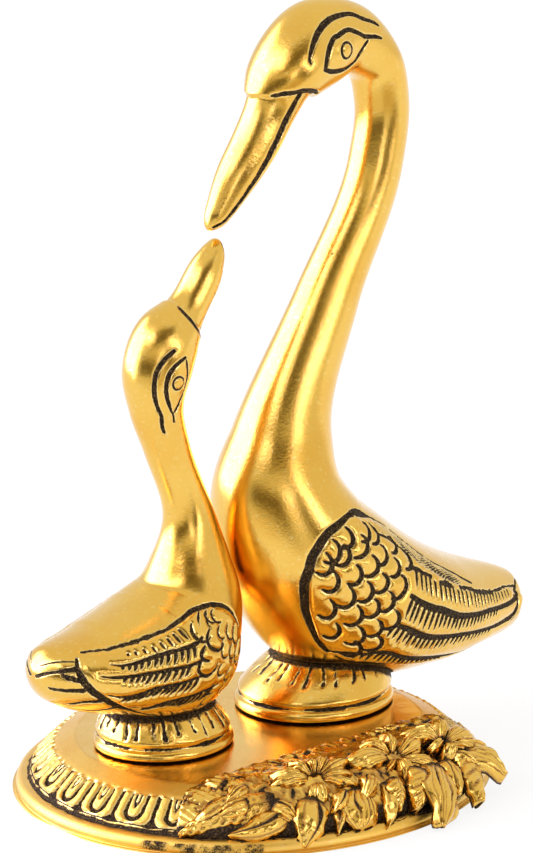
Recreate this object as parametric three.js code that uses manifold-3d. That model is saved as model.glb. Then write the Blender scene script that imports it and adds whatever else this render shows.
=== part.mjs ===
// A pair of gilt cast ducks, a tall one and a small one, beak to beak on a round base with a petal moulding
// and a spray of flowers along its front. Millimetres, +Z up. The origin is in the middle of the base's
// underside. The tall duck faces -X, the small one +X, and the flowers lie on the -Y side.
import * as THREE from "three";
import { mergeVertices } from "three/addons/utils/BufferGeometryUtils.js";
import Module from "manifold-3d";

// The round base, from its lip up to the flat top.
const base = {
  lipRadius: 60.4, lipTop: 3.4, underRadius: 59.6,
  grooveRadius: 57.2, grooveHeight: 3.6,
  bandLowRadius: 56.4, bandLowHeight: 5.0,
  bandTopRadius: 50, bandTopHeight: 10.6,
  shoulderRadius: 47.6, flatRadius: 44.6, height: 12.8,
};
const petals = { count: 30, height: 0.9, rows: [0.14, 0.72], turnDegrees: 2.3 };

// The flower spray fills the part of the base beyond a straight line in front of the ducks.
const bank = { lineY: -27, fromDegrees: -146, toDegrees: -31, height: 2.4, reach: 57.5, steps: 20 };
const flowers = [
  { x: -14.7, y: -45.0, z: 13.2, radius: 10.4, tilt: 34, turn: 20 },
  { x: 8.5, y: -47.0, z: 13.6, radius: 11.4, tilt: 36, turn: 55 },
  { x: 25.3, y: -45.6, z: 13.0, radius: 9.4, tilt: 32, turn: 5 },
];
const flower = { petals: 5, notch: 0.24, rise: 2.6, curl: 3.4, stepsPerPetal: 4, thickness: 3.2 };
// Leaves that hang over the rim, each from its root to its tip.
const leaves = [
  { root: [-24, -46, 10], tip: [-45.7, -34.1, 5], width: 6.5 },
  { root: [-17, -49, 10], tip: [-25.3, -53.6, 1.5], width: 7 },
  { root: [-12.5, -53.6, 8], tip: [-15.1, -56.4, 1.6], width: 7 },
  { root: [-8.8, -52.5, 10.2], tip: [-10, -58, 2.2], width: 10.5 },
  { root: [-2.7, -55, 9.5], tip: [-3.9, -60.6, 1.8], width: 4.5 },
  { root: [9.1, -54, 11], tip: [5.6, -60.5, 3], width: 7 },
  { root: [11.2, -57.6, 10.2], tip: [7.4, -66.5, 1.4], width: 10.4 },
  { root: [17, -55, 10.5], tip: [15.8, -62, 4], width: 5 },
  { root: [25, -53, 9.8], tip: [21.4, -63, 2.6], width: 8 },
  { root: [26.5, -51.5, 11], tip: [36.7, -56.4, 5.3], width: 9.5 },
];
const leaf = { steps: 4, ridge: 1.1, bulge: 1.4, rootDepth: 7, tipDepth: 1.8, lowest: 0.5 };

// Stations of each duck from the end of the tail to the tip of the beak. x and z place the middle of a
// section, back and belly are its half heights on either side of that middle, wide its half width.
const largeDuck = {
  y: 4.8, facing: -1, tailCap: 4.5, tipCap: 2.6, steps: 33, around: 20,
  stations: [
    { x: 93.6, z: 26.5, back: 7.2, belly: 6.4, wide: 6.8 },
    { x: 88, z: 27, back: 9, belly: 9, wide: 9.5 },
    { x: 75, z: 30, back: 11, belly: 14, wide: 15.5 },
    { x: 62, z: 33.5, back: 13, belly: 18.5, wide: 21 },
    { x: 31.5, z: 48.5, back: 17.5, belly: 27, wide: 25 },
    { x: 21, z: 60.5, back: 16, belly: 23, wide: 23 },
    { x: 16.5, z: 72.5, back: 14, belly: 18.5, wide: 18.5 },
    { x: 17.5, z: 86, back: 12.5, belly: 13, wide: 13.5 },
    { x: 33, z: 118.5, back: 8.5, belly: 8.5, wide: 8.5 },
    { x: 50.5, z: 152, back: 7, belly: 7, wide: 7.5 },
    { x: 53, z: 167, back: 7, belly: 7, wide: 7.5 },
    { x: 51, z: 177.5, back: 6.5, belly: 7.5, wide: 8.5 },
    { x: 42.5, z: 184, back: 9.5, belly: 9, wide: 9 },
    { x: 31.5, z: 183.5, back: 12, belly: 11, wide: 10.5 },
    { x: 21, z: 177, back: 8.5, belly: 9.5, wide: 10.5 },
    { x: 18, z: 171, back: 8, belly: 7.5, wide: 8 },
    { x: 11.5, z: 161.5, back: 6.5, belly: 6.5, wide: 6.5 },
    { x: 4.5, z: 152.5, back: 5.1, belly: 5.1, wide: 5.3 },
    { x: -2, z: 144, back: 2.9, belly: 2.9, wide: 3.2 },
    { x: -4, z: 142, back: 2.2, belly: 2.2, wide: 2.5 },
  ],
  wing: {
    front: 87.1, rear: 2.6, top: 53, low: 139,
    topCorner: 15, topCornerShare: 0.22, lowCorner: 25, lowCornerShare: 0.45,
    tailTop: 0, tailLow: 8, tailLowShare: 0.5,
    bands: [0, 0.15, 0.43, 0.68, 1], rowsPerBand: [2, 3, 3, 2], scalesEnd: 0.35, steps: 12, height: 1.1,
  },
  beak: { root: 245.6, step: 0.9, mouth: 126, mouthDepth: 0.9 },
  eye: { x: 34.4, z: 183.6, length: 16.5, height: 7.6, tilt: -24, pupil: 2.1 },
  brow: { x: 35.2, z: 184.2, radiusX: 13, radiusZ: 9.5, from: 12, to: 168, width: 1.5, tilt: -14 },
  foot: {
    x: 24.8, radius: 20.8, ringHeight: 2.6, grooveDepth: 1.1, topRadius: 15.4, height: 12.6, shift: 3.8,
    flutes: 20, fluteDepth: 0.8,
  },
};
const smallDuck = {
  y: 5.2, facing: 1, tailCap: 4.5, tipCap: 2.2, steps: 25, around: 16,
  stations: [
    { x: -62.3, z: 39.2, back: 5.5, belly: 4.8, wide: 6 },
    { x: -56, z: 38.5, back: 7.5, belly: 8, wide: 10.5 },
    { x: -42.5, z: 37, back: 11.5, belly: 12, wide: 17 },
    { x: -21, z: 42, back: 14, belly: 20.5, wide: 19.5 },
    { x: -15, z: 49.5, back: 12.5, belly: 15.5, wide: 15 },
    { x: -13, z: 59, back: 10, belly: 10.5, wide: 10.5 },
    { x: -13, z: 68.5, back: 7, belly: 7.5, wide: 7 },
    { x: -19, z: 89.5, back: 6, belly: 6, wide: 6 },
    { x: -21.5, z: 99.5, back: 7, belly: 7, wide: 7 },
    { x: -21, z: 108.5, back: 9, belly: 9, wide: 8.5 },
    { x: -17, z: 116.5, back: 9, belly: 8, wide: 8.5 },
    { x: -12, z: 122, back: 6.2, belly: 5.9, wide: 6.6 },
    { x: -4, z: 133, back: 4.2, belly: 3.9, wide: 4.7 },
    { x: -1.5, z: 137.5, back: 2.6, belly: 2.4, wide: 3.2 },
    { x: -1, z: 139.5, back: 2, belly: 1.8, wide: 2.6 },
  ],
  wing: {
    front: 52.5, rear: 7.5, top: 43, low: 141,
    topCorner: 14, topCornerShare: 0.3, lowCorner: 10, lowCornerShare: 0.35,
    tailTop: 0, tailLow: 17, tailLowShare: 0.6,
    bands: [0, 0.22, 0.41, 0.61, 0.8, 1], rowsPerBand: [2, 2, 2, 2, 2], scalesEnd: 0.3, steps: 8, height: 0.9,
  },
  beak: { root: 128.5, step: 0.7, mouth: 126, mouthDepth: 0.6 },
  eye: { x: -20.7, z: 106.9, length: 13, height: 5.4, tilt: 80, pupil: 1.6 },
  brow: { x: -20.4, z: 106.2, radiusX: 11.5, radiusZ: 6.6, from: 20, to: 160, width: 1.3, tilt: 84 },
  foot: {
    x: -23.6, radius: 17.9, ringHeight: 2.4, grooveDepth: 0.9, topRadius: 13.6, height: 11.6, shift: -0.8,
    flutes: 18, fluteDepth: 0.7,
  },
};
const seatGap = 0.3; // between the underside of a foot and the top of the base

const gold = { color: 0xd9a83f, roughness: 0.28, metalness: 1 };

// Number helpers
const radians = THREE.MathUtils.degToRad;
const lerp = THREE.MathUtils.lerp;
const clamp01 = (value) => THREE.MathUtils.clamp(value, 0, 1);
const smooth = (low, high, value) => THREE.MathUtils.smoothstep(value, low, high);

const library = await Module();
library.setup();

// A closed three.js geometry as a solid that can be joined and cut.
function solidFrom(geometry) {
  const bare = geometry.clone();
  bare.deleteAttribute("normal");
  bare.deleteAttribute("uv");
  const merged = mergeVertices(bare, 1e-4);
  return new library.Manifold(new library.Mesh({
    numProp: 3,
    vertProperties: new Float32Array(merged.attributes.position.array),
    triVerts: new Uint32Array(merged.index.array),
  }));
}

// A solid back as a three.js geometry. Small pockets that overlapping leaves close in between them are
// filled, so only the outer skin is kept: the one that hangs together with the solid's lowest point.
function geometryFrom(solid) {
  const mesh = solid.getMesh();
  const parent = Array.from({ length: mesh.vertProperties.length / 3 }, (unused, k) => k);
  const rootOf = (k) => {
    while (parent[k] !== k) k = parent[k];
    return k;
  };
  for (let k = 0; k < mesh.triVerts.length; k += 3) {
    const low = rootOf(mesh.triVerts[k]);
    parent[rootOf(mesh.triVerts[k + 1])] = low;
    parent[rootOf(mesh.triVerts[k + 2])] = low;
  }
  const heights = Array.from(parent, (unused, k) => mesh.vertProperties[3 * k + 2]);
  const skin = rootOf(heights.indexOf(heights.reduce((low, height) => Math.min(low, height))));
  const outer = Array.from(mesh.triVerts).filter((unused, k, all) => rootOf(all[k - k % 3]) === skin);
  const geometry = new THREE.BufferGeometry();
  geometry.setAttribute("position", new THREE.BufferAttribute(new Float32Array(mesh.vertProperties), 3));
  geometry.setIndex(outer);
  geometry.computeVertexNormals();
  return geometry;
}

// Rows of points as a geometry. Each row is a closed ring, and a fan closes the first and the last one.
function ringsGeometry(rings) {
  const around = rings[0].length;
  const points = rings.flat();
  const triangles = [];
  for (let row = 0; row < rings.length - 1; row += 1) {
    for (let k = 0; k < around; k += 1) {
      const a = row * around + k;
      const b = row * around + (k + 1) % around;
      triangles.push(a, b, b + around, a, b + around, a + around);
    }
  }
  for (const [row, flip] of [[0, true], [rings.length - 1, false]]) {
    const middle = new THREE.Vector3();
    for (const point of rings[row]) {
      middle.addScaledVector(point, 1 / around);
    }
    points.push(middle);
    for (let k = 0; k < around; k += 1) {
      const a = row * around + k;
      const b = row * around + (k + 1) % around;
      triangles.push(points.length - 1, flip ? b : a, flip ? a : b);
    }
  }
  return facingOut(points, triangles);
}

// A slab over a grid: topPoint and lowPoint give its two skins, and its four sides join them.
function slabGeometry(columns, rows, topPoint, lowPoint) {
  const points = [];
  const triangles = [];
  for (const skin of [topPoint, lowPoint]) {
    for (let i = 0; i <= columns; i += 1) {
      for (let j = 0; j <= rows; j += 1) {
        points.push(skin(i, j));
      }
    }
  }
  const size = (columns + 1) * (rows + 1);
  const index = (i, j, skin) => skin * size + i * (rows + 1) + j;
  const quad = (a, b, c, d) => triangles.push(a, b, c, a, c, d);
  for (let i = 0; i < columns; i += 1) {
    for (let j = 0; j < rows; j += 1) {
      quad(index(i, j, 0), index(i + 1, j, 0), index(i + 1, j + 1, 0), index(i, j + 1, 0));
      quad(index(i, j, 1), index(i, j + 1, 1), index(i + 1, j + 1, 1), index(i + 1, j, 1));
    }
  }
  for (let i = 0; i < columns; i += 1) {
    quad(index(i, 0, 0), index(i, 0, 1), index(i + 1, 0, 1), index(i + 1, 0, 0));
    quad(index(i, rows, 0), index(i + 1, rows, 0), index(i + 1, rows, 1), index(i, rows, 1));
  }
  for (let j = 0; j < rows; j += 1) {
    quad(index(0, j, 0), index(0, j + 1, 0), index(0, j + 1, 1), index(0, j, 1));
    quad(index(columns, j, 0), index(columns, j, 1), index(columns, j + 1, 1), index(columns, j + 1, 0));
  }
  return facingOut(points, triangles);
}

// The points and triangles as a geometry whose faces point out.
function facingOut(points, triangles) {
  let volume = 0;
  for (let k = 0; k < triangles.length; k += 3) {
    const [a, b, c] = [points[triangles[k]], points[triangles[k + 1]], points[triangles[k + 2]]];
    volume += a.dot(b.clone().cross(c));
  }
  const order = volume > 0 ? triangles : triangles.slice().reverse();
  const geometry = new THREE.BufferGeometry().setFromPoints(points);
  geometry.setIndex(order);
  return geometry;
}

// Smooth values between stations: cubic pieces whose slopes come from the neighbouring stations.
function spineOf(duck) {
  const keys = ["x", "z", "back", "belly", "wide"];
  const rows = duck.stations.map((station) => keys.map((key) => station[key]));
  const at = [0];
  for (let k = 1; k < rows.length; k += 1) {
    at.push(at[k - 1] + Math.hypot(rows[k][0] - rows[k - 1][0], rows[k][1] - rows[k - 1][1]));
  }
  const last = rows.length - 1;
  const slope = (a, b, key) => (rows[b][key] - rows[a][key]) / (at[b] - at[a]);
  const slopes = rows.map((row, k) => keys.map((name, key) => {
    if (k === 0) return slope(0, 1, key);
    if (k === last) return slope(last - 1, last, key);
    const share = (at[k + 1] - at[k]) / (at[k + 1] - at[k - 1]);
    return slope(k - 1, k, key) * share + slope(k, k + 1, key) * (1 - share);
  }));
  const values = (u) => {
    let k = 0;
    while (k < last - 1 && u > at[k + 1]) k += 1;
    const span = at[k + 1] - at[k];
    const t = (u - at[k]) / span;
    const [t2, t3] = [t * t, t * t * t];
    return keys.map((name, key) => (2 * t3 - 3 * t2 + 1) * rows[k][key]
      + (t3 - 2 * t2 + t) * span * slopes[k][key]
      + (3 * t2 - 2 * t3) * rows[k + 1][key]
      + (t3 - t2) * span * slopes[k + 1][key]);
  };
  const length = at[last];
  // The middle of the section at u, the directions along the body and towards the back, and the half sizes.
  return { length, section(u) {
    const [x, z, back, belly, wide] = values(u);
    const step = 0.4;
    const before = values(Math.max(u - step, 0));
    const after = values(Math.min(u + step, length));
    const along = new THREE.Vector3(after[0] - before[0], 0, after[1] - before[1]).normalize();
    const up = new THREE.Vector3(-along.z, 0, along.x).multiplyScalar(duck.facing);
    const round = (distance, cap) => Math.sqrt(1 - (1 - clamp01(distance / cap)) ** 2);
    const ends = round(u, duck.tailCap) * round(length - u, duck.tipCap);
    return { middle: new THREE.Vector3(x, duck.y, z), along, up, back, belly, wide, ends };
  } };
}

// The point on a duck's skin at the distance u from the tail, at an angle in degrees from the middle of the
// back, on the side +1 or -1 of Y, lifted off the skin.
function skinPoint(spine, u, angle, side, lift = 0) {
  const { middle, up, back, belly, wide, ends } = spine.section(u);
  const [c, s] = [Math.cos(radians(angle)), Math.sin(radians(angle)) * side];
  const tall = c > 0 ? back : belly;
  const out = up.clone().multiplyScalar(c / tall).add(new THREE.Vector3(0, s / wide, 0)).normalize();
  const point = middle.clone().addScaledVector(up, tall * c * ends).addScaledVector(out, lift);
  return point.setY(point.y + wide * s * ends);
}

// The point on a duck's flank that is seen at x, z from the side.
function flankPoint(spine, x, z, side, lift) {
  let best = { miss: Infinity };
  for (let u = 0; u <= spine.length; u += 0.5) {
    const { middle, along, up, back, belly } = spine.section(u);
    const offset = new THREE.Vector3(x - middle.x, 0, z - middle.z);
    const miss = Math.abs(offset.dot(along)) + 0.02 * offset.length();
    const reach = offset.dot(up);
    if (miss < best.miss) best = { miss, u, share: reach / (reach > 0 ? back : belly) };
  }
  const share = THREE.MathUtils.clamp(best.share, -0.97, 0.97);
  return skinPoint(spine, best.u, THREE.MathUtils.radToDeg(Math.acos(share)), side, lift);
}

// Body, neck, head and beak as one sweep. The beak is set back a little at its root and grooved at the mouth.
function bodySolid(duck, spine) {
  const rings = [];
  const { root, step, mouth, mouthDepth } = duck.beak;
  for (let k = 0; k <= duck.steps; k += 1) {
    const share = k / duck.steps;
    const u = Math.max(0.15, Math.min(spine.length - 0.1, spine.length * share));
    const ring = [];
    const inBeak = smooth(root - 2, root + 1, u);
    for (let j = 0; j < duck.around; j += 1) {
      const angle = 360 * j / duck.around;
      const fromBack = angle > 180 ? 360 - angle : angle;
      const atMouth = Math.abs(fromBack - mouth) < 180 / duck.around ? mouthDepth : 0;
      const atTip = clamp01((spine.length - u) / 20);
      const sink = inBeak * (step * (1 - smooth(root + 2, root + 22, u)) + atMouth * atTip);
      ring.push(skinPoint(spine, u, fromBack, angle > 180 ? -1 : 1, -sink));
    }
    rings.push(ring);
  }
  return solidFrom(ringsGeometry(rings));
}

// Distance from the tail of a wing's point: p runs from its rounded front to its tail end, q from its top
// to its bottom.
function wingReach(wing, p, q) {
  const corner = (share, size) => size * clamp01(share) ** 2;
  const front = wing.front - corner((wing.topCornerShare - q) / wing.topCornerShare, wing.topCorner)
    - corner((q - 1 + wing.lowCornerShare) / wing.lowCornerShare, wing.lowCorner);
  const rear = wing.rear + wing.tailTop * (1 - q)
    + corner((q - 1 + wing.tailLowShare) / wing.tailLowShare, wing.tailLow);
  return lerp(front, rear, p);
}

// A wing is a raised slab: scales at the front, then bands of feathers that overlap downwards.
function wingSolid(duck, spine, side) {
  const { wing } = duck;
  const qs = [];
  const heights = [];
  wing.rowsPerBand.forEach((rows, band) => {
    for (let r = 0; r < rows; r += 1) {
      qs.push(lerp(wing.bands[band], wing.bands[band + 1], r / rows));
      heights.push(r === 0 ? 0.25 : 1 - 0.35 * (r - 1) / rows);
    }
  });
  qs.push(1);
  heights.push(0.25);
  const rows = qs.length - 1;
  const place = (i, j, lift) => {
    const p = i / wing.steps;
    return skinPoint(spine, wingReach(wing, p, qs[j]), lerp(wing.top, wing.low, qs[j]), side, lift);
  };
  const top = (i, j) => {
    const p = i / wing.steps;
    const edge = i === 0 || i === wing.steps || j === 0 || j === rows;
    if (edge) return place(i, j, -0.5);
    const scale = (i + j) % 2 === 0 ? 1.05 : 0.35;
    return place(i, j, wing.height * lerp(scale, heights[j], p > wing.scalesEnd ? 1 : 0));
  };
  return solidFrom(slabGeometry(wing.steps, rows, top, (i, j) => place(i, j, -3)));
}

// A foot: a round ring on the base, a groove, and a fluted dome that runs up into the belly.
function footSolid(duck) {
  const { foot } = duck;
  const floor = base.height + seatGap;
  const dome = foot.radius - 0.8;
  const fluteTop = 0.85;
  const rows = [
    [foot.radius - 0.7, 0], [foot.radius, foot.ringHeight * 0.5],
    [foot.radius - foot.grooveDepth, foot.ringHeight + 0.7], [dome, foot.ringHeight + 1.6],
    [lerp(dome, foot.topRadius, 0.18), lerp(foot.ringHeight, foot.height, 0.34)],
    [lerp(dome, foot.topRadius, 0.55), lerp(foot.ringHeight, foot.height, 0.62)],
    [foot.topRadius, foot.height * fluteTop], [foot.topRadius * 0.92, foot.height],
  ];
  const around = foot.flutes * 2;
  const rings = rows.map(([radius, height], row) => {
    const flutes = row >= 4 && row <= 6 ? foot.fluteDepth : 0;
    const shift = foot.shift * smooth(foot.ringHeight, foot.height, height);
    const ring = [];
    for (let k = 0; k < around; k += 1) {
      const turn = 2 * Math.PI * k / around;
      const reach = radius - (k % 2 === 0 ? flutes : 0);
      ring.push(new THREE.Vector3(foot.x + shift + reach * Math.cos(turn), duck.y + reach * Math.sin(turn),
        floor + height));
    }
    return ring;
  });
  return solidFrom(ringsGeometry(rings));
}

// The eye: an almond pad with a round pupil, laid on the flank of the head.
function eyeSolid(duck, spine, side) {
  const { eye } = duck;
  const around = 8;
  const shares = [[1, -0.4], [0.86, 0.5], [eye.pupil * 2 / eye.height, 0.35], [0.01, 0.95]];
  const ring = (share, lift) => Array.from({ length: around }, (unused, k) => {
    const turn = 2 * Math.PI * k / around;
    const almond = Math.sign(Math.sin(turn)) * Math.abs(Math.sin(turn)) ** 1.3;
    const round = share < 0.7;
    const reach = round ? eye.pupil * share / shares[2][0] : share;
    const across = round ? reach * Math.cos(turn) : reach * Math.cos(turn) * eye.length / 2;
    const upward = round ? reach * Math.sin(turn) : reach * almond * eye.height / 2;
    const [c, s] = [Math.cos(radians(eye.tilt)), Math.sin(radians(eye.tilt))];
    const forward = across * c - upward * s;
    return flankPoint(spine, eye.x - forward * duck.facing, eye.z + across * s + upward * c, side, lift);
  });
  const rings = [ring(0.9, -2), ...shares.map(([share, lift]) => ring(share, lift))];
  return solidFrom(ringsGeometry(rings));
}

// The brow: a low arched ridge above the eye.
function browSolid(duck, spine, side) {
  const { brow } = duck;
  const steps = 8;
  const place = (i, across, lift) => {
    const turn = radians(lerp(brow.from, brow.to, i / steps));
    const taper = Math.sin(Math.PI * (0.12 + 0.76 * i / steps));
    const reach = 1 + across * brow.width * taper / brow.radiusZ;
    const [a, b] = [brow.radiusX * reach * Math.cos(turn), brow.radiusZ * reach * Math.sin(turn)];
    const [c, s] = [Math.cos(radians(brow.tilt)), Math.sin(radians(brow.tilt))];
    const forward = a * c - b * s;
    return flankPoint(spine, brow.x - forward * duck.facing, brow.z + a * s + b * c, side, lift);
  };
  const top = (i, j) => place(i, j - 1, j === 1 && i > 0 && i < steps ? 0.6 : -0.3);
  return solidFrom(slabGeometry(steps, 2, top, (i, j) => place(i, (j - 1) * 0.9, -1.8)));
}

function duckSolid(duck) {
  const spine = spineOf(duck);
  let solid = bodySolid(duck, spine).add(footSolid(duck));
  for (const side of [1, -1]) {
    solid = solid.add(wingSolid(duck, spine, side));
    solid = solid.add(eyeSolid(duck, spine, side));
    solid = solid.add(browSolid(duck, spine, side));
  }
  return solid;
}

// The round base with its lip, its groove, its band of petals and its flat top.
function baseSolid() {
  const band = (share) => new THREE.Vector2(lerp(base.bandLowRadius, base.bandTopRadius, share),
    lerp(base.bandLowHeight, base.bandTopHeight, share));
  const profile = [
    new THREE.Vector2(base.underRadius, 0),
    new THREE.Vector2(base.lipRadius, base.lipTop * 0.35),
    new THREE.Vector2(base.lipRadius - 1.1, base.lipTop),
    new THREE.Vector2(base.grooveRadius, base.grooveHeight),
    ...petals.rows.map(band),
    band(1),
    new THREE.Vector2(base.shoulderRadius, base.height - 0.5),
    new THREE.Vector2(base.flatRadius, base.height),
  ];
  const around = petals.count * 3;
  const firstPetalRow = 4;
  const rings = profile.map((point, row) => Array.from({ length: around }, (unused, k) => {
    const turn = 2 * Math.PI * k / around + radians(petals.turnDegrees);
    const onPetal = row >= firstPetalRow && row < firstPetalRow + petals.rows.length && k % 3 !== 0;
    const reach = point.x + (onPetal ? petals.height : 0);
    return new THREE.Vector3(reach * Math.cos(turn), reach * Math.sin(turn), point.y + (onPetal ? 0.4 : 0));
  }));
  return solidFrom(ringsGeometry(rings));
}

// The bank of leaves behind the flowers, from the straight line out to the shoulder.
function bankSolid() {
  const rows = 4;
  const place = (i, j, top) => {
    const turn = radians(lerp(bank.fromDegrees, bank.toDegrees, i / bank.steps));
    const inner = Math.min(bank.lineY / Math.sin(turn), base.flatRadius + 5);
    const share = j / rows;
    const reach = lerp(inner, bank.reach, share);
    const ends = Math.sin(Math.PI * clamp01(0.06 + 0.88 * i / bank.steps)) ** 0.5;
    const ground = reach < base.flatRadius ? base.height
      : base.height - 7.6 * ((reach - base.flatRadius) / (bank.reach - base.flatRadius)) ** 1.6;
    const bump = bank.height * ends * Math.sin(Math.PI * clamp01(0.1 + 0.8 * share)) ** 0.7;
    const ripple = i % 2 === 0 ? 0.55 : -0.25;
    return new THREE.Vector3(reach * Math.cos(turn), reach * Math.sin(turn),
      top ? ground + bump + (j > 0 && j < rows ? ripple : 0) : Math.min(ground, 9) - 4);
  };
  const [top, low] = [(i, j) => place(i, j, true), (i, j) => place(i, j, false)];
  return solidFrom(slabGeometry(bank.steps, rows, top, low));
}

// Axes for something that leans outwards from the middle of the base by a tilt from upright.
function leaningFrame(turn, tilt) {
  const outward = new THREE.Vector3(Math.cos(turn), Math.sin(turn), 0);
  const up = new THREE.Vector3(0, 0, 1);
  const [c, s] = [Math.cos(radians(tilt)), Math.sin(radians(tilt))];
  const face = up.clone().multiplyScalar(c).addScaledVector(outward, s);
  const down = outward.clone().multiplyScalar(c).addScaledVector(up, -s);
  return { face, down, across: face.clone().cross(down) };
}

// An open flower: petals with rounded lobes that rise from a sunk middle and curl back at their ends.
function flowerSolid(place) {
  const around = flower.petals * flower.stepsPerPetal;
  const { face, down, across } = leaningFrame(Math.atan2(place.y, place.x), place.tilt);
  const middle = new THREE.Vector3(place.x, place.y, place.z);
  const point = (share, k, depth) => {
    const turn = 2 * Math.PI * k / around + radians(place.turn);
    const lobe = Math.abs(Math.sin(Math.PI * k / flower.stepsPerPetal)) ** 0.6;
    const reach = place.radius * share * (1 - flower.notch * (1 - lobe) * share);
    const crease = (1 - lobe) * 0.9 * Math.sin(Math.PI * Math.min(share, 0.9));
    const height = flower.rise * Math.sin(Math.PI * 0.62 * share) - flower.curl * share ** 3 - crease - depth;
    return middle.clone().addScaledVector(face, height).addScaledVector(down, reach * Math.cos(turn))
      .addScaledVector(across, reach * Math.sin(turn));
  };
  const rows = [[0.45, flower.thickness * 1.5], [1, flower.thickness * 0.4], [0.97, 0], [0.6, 0], [0.2, 0]];
  const ring = (share, depth) => Array.from({ length: around }, (unused, k) => point(share, k, depth));
  return solidFrom(ringsGeometry(rows.map(([share, depth]) => ring(share, depth))));
}

// A pointed leaf with a ridge down its middle. It bulges outwards, and it is thick at its root, where it
// grows out of the bank.
function leafSolid(place) {
  const [root, tip] = [new THREE.Vector3(...place.root), new THREE.Vector3(...place.tip)];
  const down = tip.clone().sub(root).normalize();
  const outward = new THREE.Vector3(root.x + tip.x, root.y + tip.y, 0).normalize();
  const face = outward.add(new THREE.Vector3(0, 0, 0.6));
  face.addScaledVector(down, -face.dot(down)).normalize();
  const across = face.clone().cross(down);
  const point = (i, j, depth) => {
    const share = i / leaf.steps;
    const side = j - 1;
    const half = place.width / 2 * Math.sin(Math.PI * (0.16 + 0.8 * share)) ** 0.8;
    const height = leaf.bulge * Math.sin(Math.PI * share) + leaf.ridge * (1 - Math.abs(side)) - depth;
    const spot = root.clone().lerp(tip, share);
    spot.addScaledVector(across, half * side).addScaledVector(face, height);
    return spot.setZ(Math.max(spot.z, leaf.lowest));
  };
  const low = (i, j) => point(i, j, lerp(leaf.rootDepth, leaf.tipDepth, i / leaf.steps));
  return solidFrom(slabGeometry(leaf.steps, 2, (i, j) => point(i, j, 0), low));
}

function floweredBaseSolid() {
  let solid = baseSolid().add(bankSolid());
  for (const place of leaves) {
    solid = solid.add(leafSolid(place));
  }
  for (const place of flowers) {
    solid = solid.add(flowerSolid(place));
  }
  return solid;
}

const group = new THREE.Group();
for (const [name, solid] of [
  ["base", floweredBaseSolid()],
  ["large_duck", duckSolid(largeDuck)],
  ["small_duck", duckSolid(smallDuck)],
]) {
  const mesh = new THREE.Mesh(geometryFrom(solid), new THREE.MeshStandardMaterial(gold));
  mesh.name = name;
  group.add(mesh);
}

export default group;
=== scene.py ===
import bpy
import math
import numpy as np
from mathutils import Matrix, Vector
from mathutils.bvhtree import BVHTree


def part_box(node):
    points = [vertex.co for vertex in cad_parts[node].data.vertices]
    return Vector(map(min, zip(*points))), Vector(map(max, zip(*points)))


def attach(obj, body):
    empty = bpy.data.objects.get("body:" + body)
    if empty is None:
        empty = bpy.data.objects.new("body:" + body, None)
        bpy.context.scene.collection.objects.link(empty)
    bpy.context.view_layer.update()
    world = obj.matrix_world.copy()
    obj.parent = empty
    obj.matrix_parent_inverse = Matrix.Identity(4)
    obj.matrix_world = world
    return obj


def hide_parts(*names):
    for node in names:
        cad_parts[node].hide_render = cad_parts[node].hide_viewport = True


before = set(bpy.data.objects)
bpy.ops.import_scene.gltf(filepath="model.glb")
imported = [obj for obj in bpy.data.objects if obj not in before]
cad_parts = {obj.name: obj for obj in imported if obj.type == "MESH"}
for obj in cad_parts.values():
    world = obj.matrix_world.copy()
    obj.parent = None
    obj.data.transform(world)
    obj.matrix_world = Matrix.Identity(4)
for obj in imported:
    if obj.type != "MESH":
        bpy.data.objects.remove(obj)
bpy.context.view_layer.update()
mm = 0.001
print("frame loaded:", ", ".join(sorted(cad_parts)))

# The camera looks from the front left, slightly down, through a long lens. Places in mm.
shot = {"eye": (-567.3, -752.83, 333.81), "target": (5.53, -4.17, 91.53), "roll": 2.0, "lens": 163.7}


def makeCamera():
    eye = Vector(shot["eye"]) * mm
    back = (eye - Vector(shot["target"]) * mm).normalized()
    right = Vector((0, 0, 1)).cross(back).normalized()
    up = back.cross(right)
    turn = math.radians(shot["roll"])
    data = bpy.data.cameras.new("photoCamera")
    data.lens = shot["lens"]
    data.sensor_width = 36
    data.clip_start = 0.05
    camera = bpy.data.objects.new("photoCamera", data)
    bpy.context.scene.collection.objects.link(camera)
    axes = (right * math.cos(turn) - up * math.sin(turn), right * math.sin(turn) + up * math.cos(turn), back)
    camera.matrix_world = Matrix.Translation(eye) @ Matrix(axes).transposed().to_4x4()
    bpy.context.scene.camera = camera


makeCamera()


# Number helpers. Lengths in all the mesh code are in mm.
def smooth(low, high, value):
    share = np.clip((value - low) / (high - low), 0, 1)
    return share * share * (3 - 2 * share)


def lerp(start, end, share):
    return start + (end - start) * share


def rowsOf(stretches):
    # values from the first start to the last end, each stretch with its own step
    parts = []
    for start, end, step in stretches:
        parts.append(np.linspace(start, end, max(1, round((end - start) / step)), endpoint=False))
    return np.append(np.concatenate(parts), stretches[-1][1])


def field(points, size, seed):
    # a smooth random field from -1 to 1 over points, with lumps of the given size
    spot = np.asarray(points, float) / size + 1000.0
    cell = np.floor(spot).astype(np.int64)
    part = spot - cell
    part = part * part * (3 - 2 * part)
    total = np.zeros(len(spot))
    for corner in np.ndindex(2, 2, 2):
        key = (cell + corner) @ np.array([73856093, 19349663, 83492791]) + seed * 2654435761
        key = (key ^ (key >> 13)) * 1274126177 & 0x7FFFFFFF
        key = (key ^ (key >> 15)) & 0xFFFF
        total += np.prod(np.where(corner, part, 1 - part), axis=1) * (key / 32767.5 - 1)
    return total


def crinkle(points, amount, seed, sizes=(1.7, 0.75)):
    # random unevenness over a grid of points, from a broad and a fine field
    flat = points.reshape(-1, 3)
    rough = field(flat, sizes[0], seed) * 0.6 + field(flat, sizes[1], seed + 1) * 0.4
    return (rough * amount).reshape(points.shape[:-1])


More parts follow.
